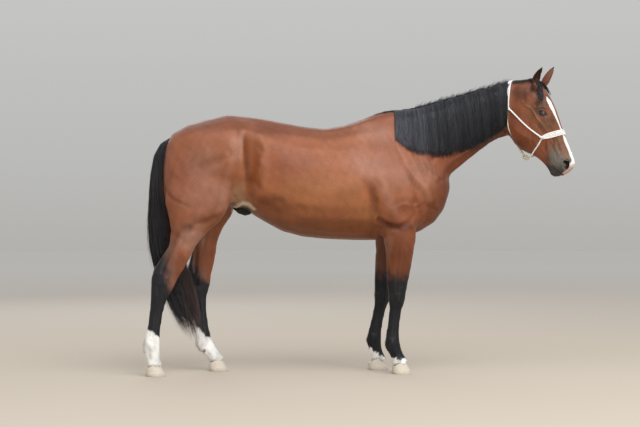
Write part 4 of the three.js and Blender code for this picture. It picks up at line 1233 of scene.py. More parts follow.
streaks, entry, leave = group_of(
    "fibre_streaks",
    [("Vector", "NodeSocketVector", None), ("Across", "NodeSocketFloat", 900.0),
     ("Along", "NodeSocketFloat", 60.0), ("Turn", "NodeSocketFloat", 0.0)],
    [("Streak", "NodeSocketFloat"), ("Drift", "NodeSocketFloat")])
rotate = node(streaks, "ShaderNodeVectorRotate", rotation_type="Y_AXIS")
streaks.links.new(entry.outputs["Vector"], rotate.inputs["Vector"])
streaks.links.new(entry.outputs["Turn"], rotate.inputs["Angle"])
scale = node(streaks, "ShaderNodeCombineXYZ")
streaks.links.new(entry.outputs["Along"], scale.inputs[0])
streaks.links.new(entry.outputs["Across"], scale.inputs[1])
streaks.links.new(entry.outputs["Across"], scale.inputs[2])
stretch = node(streaks, "ShaderNodeVectorMath", operation="MULTIPLY")
streaks.links.new(rotate.outputs[0], stretch.inputs[0])
streaks.links.new(scale.outputs[0], stretch.inputs[1])
coarse = node(streaks, "ShaderNodeVectorMath", operation="SCALE")
coarse.inputs["Scale"].default_value = 0.16
streaks.links.new(stretch.outputs[0], coarse.inputs[0])
streaks.links.new(noise(streaks, stretch.outputs[0], 1.0, 3.0), leave.inputs["Streak"])
streaks.links.new(noise(streaks, coarse.outputs[0], 1.0), leave.inputs["Drift"])


def spread(tree, source, low, high, to_low, to_high):
    remap = node(tree, "ShaderNodeMapRange")
    for k, value in enumerate((low, high, to_low, to_high)):
        remap.inputs[k + 1].default_value = value
    tree.links.new(source, remap.inputs[0])
    return remap.outputs[0]


def swing(tree, fibre, low, high):
    """Stretches a noise, which mostly keeps between 0.3 and 0.7, to run from low to high."""
    return spread(tree, fibre, 0.3, 0.7, low, high)


def times(tree, colour, factor):
    """Multiplies a colour by a grey factor."""
    product = node(tree, "ShaderNodeVectorMath", operation="SCALE")
    tree.links.new(colour, product.inputs[0])
    tree.links.new(factor, product.inputs["Scale"])
    return product.outputs[0]


def bumped(tree, shader, height, strength, distance):
    bump = node(tree, "ShaderNodeBump")
    bump.inputs["Strength"].default_value = strength
    bump.inputs["Distance"].default_value = distance
    tree.links.new(height, bump.inputs["Height"])
    tree.links.new(bump.outputs[0], shader.inputs["Normal"])


def placed_group(tree, group, vector, **values):
    made = node(tree, "ShaderNodeGroup", node_tree=group)
    tree.links.new(vector, made.inputs["Vector"])
    for key, value in values.items():
        made.inputs[key].default_value = value
    return made


# %% The coat
def coat_finish(name, roughness):
    made, tree, shader = finish_of(name, roughness, Specular_IOR_Level=0.22)
    where = objects_place(tree)
    limb, bare = attribute(tree, "limb"), attribute(tree, "bare")
    back = placed_group(tree, streaks, where, Across=620.0, Along=70.0, Turn=0.42)
    down = placed_group(tree, streaks, where, Across=620.0, Along=70.0, Turn=1.5)
    streak = node(tree, "ShaderNodeMix", data_type="FLOAT")
    drift = node(tree, "ShaderNodeMix", data_type="FLOAT")
    for blend, output in ((streak, "Streak"), (drift, "Drift")):
        tree.links.new(limb, blend.inputs[0])
        tree.links.new(back.outputs[output], blend.inputs[2])
        tree.links.new(down.outputs[output], blend.inputs[3])
    tone = maths(tree, "MULTIPLY", swing(tree, streak.outputs[0], 0.86, 1.12),
                 swing(tree, noise(tree, where, 9.0, 4.0), 0.9, 1.09))
    tree.links.new(times(tree, attribute(tree, "hide_and_painted_light", "Color"), tone), shader.inputs["Base Color"])
    gloss = maths(tree, "ADD", swing(tree, drift.outputs[0], roughness - 0.06, roughness + 0.08),
                  spread(tree, bare, 0.0, 1.0, 0.0, 0.12))
    tree.links.new(gloss, shader.inputs["Roughness"])
    pores = node(tree, "ShaderNodeTexVoronoi")
    pores.inputs["Scale"].default_value = 420.0
    tree.links.new(where, pores.inputs["Vector"])
    relief = node(tree, "ShaderNodeMix", data_type="FLOAT")
    tree.links.new(bare, relief.inputs[0])
    tree.links.new(streak.outputs[0], relief.inputs[2])
    tree.links.new(pores.outputs["Distance"], relief.inputs[3])
    bumped(tree, shader, relief.outputs[0], 0.35, 0.0012)
    return made


dress(skin, coat_finish("bay_coat", 0.42), "coat", *FLESH)
print("coat finished")

# %% [markdown]
# ## The sheath
# A gelding's sheath is a soft, dark fold of bare skin under the groin. It is wrapped from its
# solid in a grid of its own, melted, creased lengthwise, and sunk a little into the belly.

# %% Make the sheath
sheath = copied("sheath", 0.0008)
wrap(sheath, 0.004)
points = relax(points_of(sheath), edges_of(sheath), np.ones(len(points_of(sheath))), 14, 0.52)
mm = drawn(points)
points[:, 0] += (44 - 0.28 * (mm[:, 0] + 789)) / 1000
crease = -2 + 1.6 * np.sin(mm[:, 2] / 3.6 + 0.5 * np.sin(mm[:, 0] / 17)) * fade(np.abs(mm[:, 1]), 6, 22)
place(sheath, points)
points = points + facing_of(sheath) * (crease / 1000)[:, None]
place(sheath, points)
sheath.name = "sheath_skin"
rgb = np.tile(GREY_SKIN * 0.16, (len(points), 1)) * (1 + 0.12 * ripple(mm, 16, 5))[:, None]
paint(sheath, rgb, limb=np.zeros(len(points)), bare=np.ones(len(points)))
sheath.data.shade_smooth()
dress(sheath, coat_finish("dark_skin", 0.5), "dark_skin", "sheath")
print("sheath", faces_of(sheath), "triangles")

# %% [markdown]
# ## Hair in locks
# Mane, tail, forelock and every tuft are made by one tool: a closed, three-sided lock that tapers
# to a point along its path. Each lock carries its colour, and a tiny patch on the skin's unwrap at
# the place where it grows.

# %% The lock maker
PATCH = 0.003
CORNERS = np.array([[-1, -0.4], [1, -0.4], [0, 0.8]])  # across the lock, and outwards
SIDES = ((0, 1), (1, 2), (2, 0))


def locks(name, paths, outward, half_wide, half_thick, rgb, root_uv, finish, slot):
    """One piece of hair. paths and outward hold (locks, steps, 3) numbers, half_wide and half_thick
    (locks, steps), and rgb a colour for each lock or for each of its steps."""
    count, steps, _ = paths.shape
    way = unit(np.gradient(paths, axis=1))
    across = unit(np.cross(way, outward))
    out = np.cross(across, way)
    ring = (paths[:, :-1, None] + across[:, :-1, None] * half_wide[:, :-1, None, None] * CORNERS[:, 0, None]
            + out[:, :-1, None] * half_thick[:, :-1, None, None] * CORNERS[:, 1, None])
    per = (steps - 1) * 3 + 1
    verts = np.concatenate([ring.reshape(count, -1, 3), paths[:, -1:]], 1).reshape(-1, 3)
    quads = [[k + i, k + 3 + i, k + 3 + j, k + j] for k in range(0, 3 * (steps - 2), 3) for i, j in SIDES]
    last = (steps - 2) * 3
    triangles = [[last + i, per - 1, last + j] for i, j in SIDES] + [[0, 1, 2]]
    start = (np.arange(count) * per)[:, None, None]
    quad_loops = (np.array(quads, int).reshape(1, -1, 4) + start).reshape(-1)
    triangle_loops = (np.array(triangles)[None] + start).reshape(-1)
    loops = np.concatenate([quad_loops, triangle_loops]).astype(np.int32)
    n_quads, n_triangles = len(quads) * count, 4 * count
    starts = np.concatenate([np.arange(n_quads) * 4,
                             n_quads * 4 + np.arange(n_triangles) * 3]).astype(np.int32)
    mesh = bpy.data.meshes.new(name)
    mesh.vertices.add(len(verts))
    mesh.vertices.foreach_set("co", verts.astype(np.float32).ravel())
    mesh.loops.add(len(loops))
    mesh.loops.foreach_set("vertex_index", loops)
    mesh.polygons.add(n_quads + n_triangles)
    mesh.polygons.foreach_set("loop_start", starts)
    mesh.update(calc_edges=True)
    mesh.validate()
    piece = linked(name, mesh)
    share = np.concatenate([np.repeat(np.arange(steps - 1), 3), [steps - 1]]) / (steps - 1)
    side = np.concatenate([np.tile([0, 0.5, 1], steps - 1), [0.5]])
    local = np.tile(np.stack([side, share], 1) - 0.5, (count, 1)) * PATCH
    uv = np.repeat(root_uv, per, 0) + local
    mesh.uv_layers.new(name="OFBake").data.foreach_set("uv", uv[loops].astype(np.float32).ravel())
    if rgb.ndim == 2:
        rgb = np.repeat(rgb[:, None], steps, 1)
    shade = np.concatenate([np.repeat(rgb[:, :-1], 3, 1), rgb[:, -1:]], 1).reshape(-1, 3)
    paint(piece, shade, along=np.tile(share, count))
    mesh.shade_smooth()
    dress(piece, finish, slot)
    print(name, count, "locks,", faces_of(piece), "triangles")
    return piece


def taper(steps, root, tip, fullest=0.4):
    """The width of a lock down its length, as a share of its widest."""
    share = np.linspace(0, 1, steps)
    return np.interp(share, [0, fullest, 0.8, 1], [root, 1, 0.55, tip])


# %% Long hair's finish
def hair_finish(name, roughness, sheen):
    made, tree, shader = finish_of(name, roughness, Specular_IOR_Level=0.32, Sheen_Weight=sheen,
                                   Sheen_Roughness=0.35)
    shader.inputs["Sheen Tint"].default_value = (0.75, 0.82, 1.0, 1)
    fibres = placed_group(tree, streaks, objects_place(tree), Across=900.0, Along=18.0, Turn=1.5)
    tone = maths(tree, "MULTIPLY", swing(tree, fibres.outputs["Streak"], 0.7, 1.35),
                 spread(tree, attribute(tree, "along"), 0.0, 1.0, 0.9, 1.25))
    tree.links.new(times(tree, attribute(tree, "hide_and_painted_light", "Color"), tone), shader.inputs["Base Color"])
    tree.links.new(swing(tree, fibres.outputs["Drift"], roughness - 0.07, roughness + 0.09),
                   shader.inputs["Roughness"])
    bumped(tree, shader, fibres.outputs["Streak"], 0.4, 0.001)
    return made


long_hair = hair_finish("black_hair", 0.40, 0.06)


def under_piece(node_name, name, shrink, shift, rgb, lower_edge=None, ends=None):
    """A smooth shell from a solid, drawn in and shifted under the locks so that no gap shows through."""
    shell = copied(node_name)
    wrap(shell, 0.010)
    points = relax(points_of(shell), edges_of(shell), np.ones(len(points_of(shell))), 12, 0.5)
    place(shell, points)
    points = points - facing_of(shell) * shrink + np.array(shift)
    if lower_edge is not None:
        mm = drawn(points)
        above = np.clip((mm[:, 2] - np.interp(mm[:, 0], *lower_edge)) / 160, 0, 1)
        points[:, 1] += 0.012 * (1 - above)
        points[:, 2] += 0.055 * (1 - above)
    if ends is not None:
        high = drawn(points)[:, 2]
        change = np.interp(high, [100, ends[0], ends[1], 1600],
                           [0.8 * (ends[0] - 100), 0, 0, 0.85 * (ends[1] - 1600)])
        points = points + change[:, None] / 1000 * np.array([-0.28, 0, 1])
    place(shell, points)
    shell.name = name
    paint(shell, np.tile(rgb, (len(points), 1)), along=np.full(len(points), 0.3))
    shell.data.shade_smooth()
    dress(shell, long_hair, "long_hair")


# %% [markdown]
# ## The mane
# The mane grows in a narrow strip along the crest, rises a finger's breadth and falls down the
# right side of the neck. It is grown in two layers: full locks below, and fine loose ones over
# them. Each lock lies on the neck by the sight lines taken above.

# %% Grow the mane
MANE_EDGE = np.array([[200, 1470], [214, 1452], [258, 1412], [328, 1381], [435, 1360], [529, 1364],
                      [624, 1396], [737, 1440], [813, 1490], [907, 1552], [930, 1580]])
MANE_STEPS = 11


def grow_mane(name, count, half_wide, nearest, farthest, seed):
    """One layer of the mane: count locks that lie between two distances from the neck, in mm."""
    local = np.random.default_rng(seed)
    s = np.linspace(0, 1, MANE_STEPS)[None]
    root_x = np.sort(local.uniform(206, 934, count))
    crest_y, crest_z = crest_at(root_x)
    full = local.random(count) < 0.6
    length_share = np.where(full, 1.07 - np.abs(local.normal(0, 0.12, count)),
                            local.uniform(0.45, 0.97, count))
    length_share += 0.05 * (local.random(count) < 0.12)
    drop = (crest_z - np.interp(root_x, *MANE_EDGE.T) + 2 * np.sin(root_x / 23)) * length_share
    lean = np.interp(root_x, [214, 420, 650, 800, 930], [-0.01, 0.03, 0.10, 0.08, -0.06])
    clump_x = np.round(root_x / 21 + 0.3 * np.sin(root_x / 50)) * 21
    pull = (clump_x - root_x) * local.uniform(0.1, 0.75, count)
    wave = 5 * np.sin(root_x / 31) + 4 * np.sin(root_x / 13 + 1) + local.normal(0, 8, count)
    x = (root_x[:, None] + (lean * drop)[:, None] * s ** 1.3 + pull[:, None] * s ** 1.4
         + wave[:, None] * s ** 1.5)
    rise = local.uniform(6, 13, count)[:, None]
    z = crest_z[:, None] - 1 + rise * np.sin(np.pi * np.clip(s / 0.16, 0, 1)) - drop[:, None] * s ** 1.08
    rope_at = np.interp(z, [1500, 1768, 1801, 1826, 1850], [903, 901, 911, 934, 940])
    left_edge = 200 + 30 * local.random(count)[:, None] ** 1.6 * (1 - 0.4 * s)
    left_edge = left_edge - 20 * (local.random(count)[:, None] < 0.2) * s ** 0.8
    x = np.clip(x, left_edge, rope_at - 7 * local.random(count)[:, None])
    offset = local.uniform(nearest, farthest, count)[:, None] * (1 - 0.45 * s ** 2.5)
    offset = offset + 1.6 * np.sin(s * 9 + clump_x[:, None])
    rooted = (crest_y + local.uniform(-13, 15, count))[:, None]
    y = rooted + (beside_neck(x, z) - offset - rooted) * fade(s, 0.0, 0.14)
    paths = at(np.stack([x, y, z], 2))
    outward = np.zeros_like(paths)
    outward[..., 1] = -1
    outward[:, :2, 2] = 1.2
    wide = local.uniform(*half_wide, count)[:, None] * taper(MANE_STEPS, 0.7, 0.04)[None] / 1000
    groups = np.sin(root_x / 11 + 2 * np.sin(root_x / 37)) + 0.7 * np.sin(root_x / 4.7)
    groups *= np.interp(root_x, [212, 360, 930], [0.1, 1, 1])
    varied = local.uniform(0.5, 1.35, count) ** np.interp(root_x, [212, 360], [0.45, 1])
    grey = np.clip(varied * (1 + 0.38 * groups), 0.25, 2.2)[:, None]
    # Painted sheen: the rear part of the mane is painted a lighter blue-grey, and a lighter band runs along
    # the top of each lock; the tips are lighter too.
    painted_sheen_rear = fade(-root_x, -530, -230)[:, None]
    tint = (np.array([0.0090, 0.0088, 0.0110]) * (1 - painted_sheen_rear) + np.array([0.043, 0.043, 0.052]) * painted_sheen_rear) * grey
    painted_sheen_band_and_light_tips = 1 + (1.4 - 1.6 * painted_sheen_rear) * np.exp(-((s - 0.16) / 0.16) ** 2) + 0.9 * s ** 5
    tint = tint[:, None] * painted_sheen_band_and_light_tips[..., None]
    return locks(name, paths, outward, wide, wide * 0.55, tint, skin_under(paths[:, 0])[2], long_hair,
                 "long_hair")


mane = grow_mane("mane_locks", 3200, (1.6, 3.4), 8, 15, 41)
grow_mane("mane_over", 3200, (0.6, 1.7), 12, 18, 42)
under_piece("mane", "mane_under", 0.002, (0, 0.012, -0.009), np.array([0.009, 0.009, 0.011]), MANE_EDGE.T)
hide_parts("mane")

# %% [markdown]
# Broken hairs stand up along the crest, a short strip of black hair runs on over the poll, and the
# forelock falls between the ears in two locks. They are the same locks, shorter or finer.

# %% Wisps, poll and forelock
N_WISP = 1000
x0 = np.concatenate([rng.uniform(330, 915, 820), rng.uniform(190, 330, 180)])
y0, z0 = crest_at(x0)
s = np.linspace(0, 1, 6)[None]
size = np.where(x0 > 330, rng.gamma(3.0, 7.5, N_WISP), rng.uniform(6, 18, N_WISP)).clip(6, 58)[:, None]
lean = rng.normal(0.6, 0.35, N_WISP)[:, None]
x = x0[:, None] + lean * size * s ** 1.3 + rng.normal(0, 4, N_WISP)[:, None] * s
y = (y0 + rng.uniform(-9, 6, N_WISP))[:, None] - rng.uniform(0.0, 0.7, N_WISP)[:, None] * size * s ** 2
z = (z0 - 4)[:, None] + size * (s - 0.25 * s ** 2.5)
wisp_paths = at(np.stack([x, y, z], 2))
outward = np.zeros_like(wisp_paths)
outward[..., 1] = -1
half = (rng.uniform(0.45, 0.9, N_WISP)[:, None] * taper(6, 0.6, 0.1)[None]) / 1000
locks("crest_wisps", wisp_paths, outward, half, half, np.tile([0.012, 0.011, 0.012], (N_WISP, 1)),
      skin_under(wisp_paths[:, 0])[2], long_hair, "long_hair")

def eased(path, rounds):
    """Rounds off the corners of a path, between its two ends."""
    for _ in range(rounds):
        path[1:-1] = (path[:-2] + 2 * path[1:-1] + path[2:]) / 4
    return path


FORELOCK = {
    "right": (330, [[96, -6, 1838], [140, -22, 1838], [166, -44, 1796], [180, -56, 1742],
                    [188, -70, 1664]], 19),
    "left": (190, [[128, 8, 1838], [176, 18, 1816], [206, 25, 1772], [228, 27, 1728]], 9),
    "poll": (170, [[-10, -2, 1830], [-2, -14, 1830], [2, -28, 1822], [3, -40, 1808]], 0),
}
lock_paths = []
for label, (count, route, spread_mm) in FORELOCK.items():
    route = np.array(route, float)
    s = np.linspace(0, 1, 10)
    keys = np.linspace(0, 1, len(route))
    middle = eased(between(route, keys, s), 2)
    drift = rng.normal(0, 1, (count, 1, 3)) * np.array([1.0, 0.8, 0.5]) * max(spread_mm, 4) * 0.6
    shorter = rng.uniform(0.5, 1.0, count)[:, None]
    path = between(middle, s, s[None] * shorter)
    path = path + drift * (0.35 + 0.65 * np.sin(np.pi * s * 0.85))[None, :, None]
    if label == "poll":
        along_crest = rng.uniform(0, 118, count)[:, None]
        path[..., 0] += along_crest
        path[..., 2] += along_crest * 0.10
    lock_paths.append(head_at(path))
lock_paths = np.concatenate(lock_paths)
near, normal, uv = skin_under(lock_paths.reshape(-1, 3))
depth = ((lock_paths.reshape(-1, 3) - near) * normal).sum(1)
lifted = near + normal * np.maximum(depth, rng.uniform(0.001, 0.005, len(depth)))[:, None]
lifted = np.where((depth < 0.012)[:, None], lifted, lock_paths.reshape(-1, 3)).reshape(lock_paths.shape)
normal = normal.reshape(lock_paths.shape)
count = len(lifted)
wide = rng.uniform(0.9, 1.9, count)[:, None] * taper(10, 0.7, 0.06)[None] / 1000
tint = np.array([0.024, 0.019, 0.017]) * rng.uniform(0.6, 1.3, count)[:, None]
forelock = locks("forelock_locks", lifted, normal, wide, wide * 0.5, tint, uv.reshape(count, 10, 2)[:, 0],
                 long_hair, "long_hair")
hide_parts("forelock_right", "forelock_left")

# %% [markdown]
# ## The tail
# Hair grows all round the dock, hangs in one mass behind the buttocks, and thins to a swinging end
# between the hocks. Each lock keeps its own place in the tail's cross-section all the way down.

# %% Grow the tail
TAIL = np.array([  # front x, z, back x, z, half width
    [-1136, 1500, -1146, 1476, 26], [-1194, 1478, -1184, 1436, 38], [-1258, 1436, -1200, 1398, 44],
    [-1298, 1360, -1202, 1340, 49], [-1316, 1245, -1206, 1230, 56], [-1324, 1100, -1195, 1100, 64],
    [-1329, 940, -1178, 950, 70], [-1321, 790, -1146, 810, 74], [-1288, 650, -1104, 690, 71],
    [-1247, 530, -1064, 580, 63], [-1206, 430, -1036, 475, 54], [-1164, 345, -1024, 375, 43],
    [-1118, 270, -1016, 290, 29], [-1062, 202, -1030, 206, 13]])
TAIL_STEPS = 14


def tail_at(share, across, ahead):
    """A point in the tail: share down it, and its place in the cross-section, each from -1 to 1."""
    rows = between(TAIL, np.linspace(0, 1, len(TAIL)), share)
    front_x, front_z, back_x, back_z, half = np.moveaxis(rows, -1, 0)
    x = (front_x + back_x) / 2 + (back_x - front_x) / 2 * ahead
    z = (front_z + back_z) / 2 + (back_z - front_z) / 2 * ahead
    return np.stack([x, half * across, z], -1)


def grow_tail(name, count, half_wide, inner, seed):
    """One layer of the tail: count locks between inner (0 to 1) and the outside of its cross-section."""
    local = np.random.default_rng(seed)
    angle = local.uniform(0, 2 * np.pi, count)
    radius = np.sqrt(local.uniform(inner, 1.0, count))
    start = local.beta(1.2, 2.2, count) * 0.30
    end = np.where(local.random(count) < 0.6, local.uniform(0.8, 1.0, count), local.uniform(0.5, 0.95, count))
    s = np.linspace(0, 1, TAIL_STEPS)[None]
    clump = np.round(angle / 0.42) * 0.42
    end = end * (0.93 + 0.07 * np.sin(clump * 9.1))
    share = start[:, None] + (end - start)[:, None] * s
    turn = angle[:, None] + (clump - angle)[:, None] * 0.8 * s
    turn = turn + local.normal(0, 0.13, count)[:, None] * np.sin(s * 5)
    gather = 0.42 * fade(share, 0.45, 1.0)
    own = 0.15 + 0.8 * np.abs(np.sin(clump * 5.3))[:, None]
    reach = radius[:, None] * (0.62 + 0.38 * fade(s, 0.0, 0.2)) * (1 - gather) + own * gather
    reach = reach + 0.09 * s * np.sin(6 * s + angle[:, None] * 5)
    paths = tail_at(share, reach * np.cos(turn), reach * np.sin(turn))
    paths += local.normal(0, 1, (count, 1, 3)) * np.array([15, 11, 12]) * s[..., None] ** 3
    outward = unit(paths - tail_at(share, np.zeros_like(share), np.zeros_like(share)))
    wide = local.uniform(*half_wide, count)[:, None] * taper(TAIL_STEPS, 0.6, 0.05)[None] / 1000
    brown = fade(local.random(count) + 0.6 * (np.sin(angle) > 0.2), 0.7, 1.5)[:, None]
    tint = np.array([0.0135, 0.013, 0.0155]) * (1 - brown) + np.array([0.060, 0.036, 0.031]) * brown
    tint = (tint * local.uniform(0.6, 1.5, count)[:, None])[:, None]
    tint = tint * (0.8 + 1.1 * fade(share, 0.5, 0.95))[..., None]
    return locks(name, np.clip(at(paths), CAD_LOW + 0.001, CAD_HIGH), outward, wide, wide * 0.5, tint,
                 skin_under(at(paths[:, 0]))[2], long_hair, "long_hair")


tail = grow_tail("tail_locks", 2300, (2.4, 4.6), 0.25, 51)
grow_tail("tail_over", 2300, (0.7, 1.9), 0.8, 52)
under_piece("tail", "tail_under", 0.020, (-0.004, 0, -0.012), np.array([0.009, 0.0085, 0.010]),
            ends=(460, 1400))
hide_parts("tail")
local = np.random.default_rng(53)
s = np.linspace(0, 1, 8)
stray = np.array([[-1196, 16, 1452], [-1214, 46, 1404], [-1216, 66, 1340], [-1204, 84, 1270]], float)
for side, count in (("right", 90), ("left", 40)):
    route = between(stray, np.linspace(0, 1, 4), s) * [1, SIGN[side], 1]
    short = local.uniform(0.35, 1.0, count)[:, None]
    paths = between(route, s, s[None] * short)
    paths += local.normal(0, 1, (count, 1, 3)) * [9, 6, 10] * (0.4 + 0.6 * s)[None, :, None]
    spots = at(paths).reshape(-1, 3)
    near, normal, _ = skin_under(spots)
    lift = np.maximum(((spots - near) * normal).sum(1), local.uniform(0.002, 0.006, len(spots)))
    lift = np.minimum(lift, 0.012)
    wide = local.uniform(0.5, 1.2, count)[:, None] * taper(8, 0.7, 0.06)[None] / 1000
    lifted = near + normal * lift[:, None]
    locks("tail_wisps_" + side, lifted.reshape(paths.shape), normal.reshape(paths.shape), wide, wide * 0.5,
          np.tile([0.014, 0.013, 0.015], (count, 1)), skin_under(at(paths[:, 0]))[2], long_hair, "long_hair")
print("long hair done", round(time.time() - started, 1), "s")

# %% [markdown]
# ## Hooves
# A hoof is a slanting cone of horn: long at the toe, short at the heel, with fine rings where it
# grew. A cylinder is cut into levels, then each corner is moved onto the cone. Its top goes a
# little way up inside the skin, and the sole is flat on the floor.

# %% Make one hoof and its three copies
HORN_INSET = 1.2  # how far the horn lies inside its solid
HOOF_SIZE = {"long": 134, "wide": 122, "toe": 84, "heel": 46, "slope": 0.62}
HOOF_AT = {"fore_right": (244, -125), "fore_left": (124, 125), "hind_right": (-1283, -140),
           "hind_left": (-897, 140)}


def hoof_finish():
    made, tree, shader = finish_of("hoof_horn", 0.5, Specular_IOR_Level=0.35)
    where, level = objects_place(tree), attribute(tree, "level")
    fibres = placed_group(tree, streaks, where, Across=420.0, Along=40.0, Turn=1.35)
    rings = node(tree, "ShaderNodeTexWave", wave_type="BANDS", bands_direction="Z")
    rings.inputs["Scale"].default_value = 1.0
    rings.inputs["Distortion"].default_value = 2.2
    rings.inputs["Detail"].default_value = 3.0
    tall = node(tree, "ShaderNodeCombineXYZ")
    tree.links.new(spread(tree, level, 0.0, 1.0, 0.0, 3.2), tall.inputs[2])
    jitter = node(tree, "ShaderNodeVectorMath", operation="MULTIPLY_ADD")
    jitter.inputs[1].default_value = (3.0, 3.0, 0.6)
    tree.links.new(where, jitter.inputs[0])
    tree.links.new(tall.outputs[0], jitter.inputs[2])
    tree.links.new(jitter.outputs[0], rings.inputs["Vector"])
    tone = maths(tree, "ADD", swing(tree, fibres.outputs["Streak"], 0.0, 0.5),
                 spread(tree, rings.outputs["Fac"], 0.0, 1.0, 0.28, 0.42))
    horn = ramp(tree, tone, (0.2, (0.48, 0.40, 0.30)), (0.85, (0.70, 0.64, 0.55)))
    # Darker towards the sole.
    darker_to_sole = spread(tree, level, 0.0, 0.35, 0.72, 1.0)
    tree.links.new(times(tree, horn, darker_to_sole), shader.inputs["Base Color"])
    tree.links.new(swing(tree, fibres.outputs["Drift"], 0.42, 0.66), shader.inputs["Roughness"])
    relief = maths(tree, "ADD", maths(tree, "MULTIPLY", rings.outputs["Fac"], 0.35), fibres.outputs["Streak"])
    bumped(tree, shader, relief, 0.3, 0.0008)
    return made


bpy.ops.mesh.primitive_cylinder_add(vertices=56, radius=1, depth=1, end_fill_type="NGON",
                                    location=(0, 0, 0.5))
hoof_form = bpy.context.object
hoof_form.name = "hoof_form"
bpy.ops.object.transform_apply(location=True)
bpy.ops.object.mode_set(mode="EDIT")
for level in np.linspace(0.04, 0.98, 20):
    bpy.ops.mesh.select_all(action="SELECT")
    bpy.ops.mesh.bisect(plane_co=(0, 0, level), plane_no=(0, 0, 1))
bpy.ops.object.mode_set(mode="OBJECT")
cylinder = points_of(hoof_form)
horn = hoof_finish()


def hoof_points(centre, lateral):
    """The cylinder's points on the cone of a hoof, and how high each is from the sole (0) to the top (1)."""
    angle = np.arctan2(cylinder[:, 1], cylinder[:, 0])
    level = cylinder[:, 2] * 1.05
    ahead, heel = np.cos(angle), np.maximum(0, -np.cos(angle))
    high = (HOOF_SIZE["heel"] + (HOOF_SIZE["toe"] - HOOF_SIZE["heel"]) * (1 + ahead) / 2) * level
    width = (1 - 0.24 * level) * np.where(level < 0.03, 0.985, 1.0)
    width = width * (1 + 0.010 * np.exp(-((level - 0.9) / 0.05) ** 2)) * (1 - 0.55 * fade(level, 0.96, 1.05))
    rings = 0.35 * np.sin(level * 46 + 1.5 * np.sin(angle * 2))
    rings *= fade(level, 0.1, 0.2) * (1 - fade(level, 0.85, 0.95))
    bulbs = 5.0 * heel ** 3 * np.abs(np.sin(angle * 2)) - 6.0 * np.exp(-((np.pi - np.abs(angle)) / 0.16) ** 2)
    bulbs = bulbs * fade(level, 0.05, 0.5)
    reach = np.hypot(cylinder[:, 0], cylinder[:, 1])
    x = (HOOF_SIZE["long"] / 2 - HORN_INSET + rings + bulbs) * ahead * width * (1 - 0.12 * heel)
    x = x * reach - HOOF_SIZE["slope"] * high * 0.62
    y = (HOOF_SIZE["wide"] / 2 - HORN_INSET + rings + bulbs * 0.3) * np.sin(angle) * width
    y = y * (1 + 0.06 * heel) * reach
    return at(np.stack([x + centre, y + lateral, high], 1)), level


for leg, (centre, lateral) in HOOF_AT.items():
    hoof = linked("horn_" + leg, hoof_form.data.copy())
    spots, level = hoof_points(centre, lateral)
    place(hoof, spots)
    mark(hoof, "level", level)
    face_outwards(hoof)
    bpy.ops.object.shade_smooth_by_angle(angle=math.radians(50))
    dress(hoof, horn, "hoof", "hoof_" + leg)
bpy.data.objects.remove(hoof_form)
print("hooves", faces_of(hoof), "triangles each")

# %% [markdown]
# ## Eyes
# A horse's eye is a large dark ball with a swollen, wet front. The pupil is a lying oval, and the
# brown iris is so dark that it mostly shows as a rim. The ball carries its own coordinates, so
# that the pattern stays on it from every side.

# %% Make the eyes
def eye_finish():
    made, tree, shader = finish_of("wet_eye", 0.08, Specular_IOR_Level=0.45, Coat_Weight=0.5,
                                   Coat_Roughness=0.02)
    gaze = attribute(tree, "gaze", "Vector")
    parts = node(tree, "ShaderNodeSeparateXYZ")
    tree.links.new(gaze, parts.inputs[0])


    def away(half_long, half_high):
        """How far out a point is, as a share of an oval with these half axes."""
        across = [maths(tree, "DIVIDE", parts.outputs[0], half_long),
                  maths(tree, "DIVIDE", parts.outputs[1], half_high)]
        squares = [maths(tree, "MULTIPLY", way, way) for way in across]
        return maths(tree, "SQRT", maths(tree, "ADD", *squares), 0)

    rays = noise(tree, gaze, 14.0, 4.0)
    rings = ramp(tree, away(1.0, 1.0), (0.0, (0.034, 0.020, 0.012)), (0.66, (0.062, 0.034, 0.019)),
                 (0.74, (0.012, 0.008, 0.006)), (0.84, (0.020, 0.014, 0.011)), (0.93, (0.060, 0.045, 0.038)))
    iris = times(tree, rings, swing(tree, rays, 0.6, 1.3))
    pupil = times(tree, iris, spread(tree, away(0.40, 0.20), 0.9, 1.1, 0.06, 1.0))
    tree.links.new(pupil, shader.inputs["Base Color"])
    tree.links.new(swing(tree, rays, 0.04, 0.08), shader.inputs["Roughness"])
    return made


wet_eye = eye_finish()
for side, sign in SIGN.items():
    bpy.ops.mesh.primitive_uv_sphere_add(segments=48, ring_count=32, radius=1)
    eye = bpy.context.object
    eye.name = "eyeball_" + side
    local = points_of(eye)
    bulge = 1 + 0.035 * fade(local[:, 2], 0.72, 0.95)
    place(eye, head_at(EYE[side] + (local * bulge[:, None] * (EYE_RADIUS * 1000 - 0.8)) @ eye_axes(sign)))
    mark(eye, "gaze", local, "FLOAT_VECTOR", "vector")
    face_outwards(eye)
    eye.data.shade_smooth()
    dress(eye, wet_eye, "eye", "eye_" + side)
print("eyes made")

# %% [markdown]
# ## The rope halter
# The halter is one laid rope, knotted to shape. A rope's surface is three strands wound round each
# other, so its cross-section has three lobes that turn as they go. Sight lines from outside lay
# each route on the skin, and the rope's own radius lifts it off.

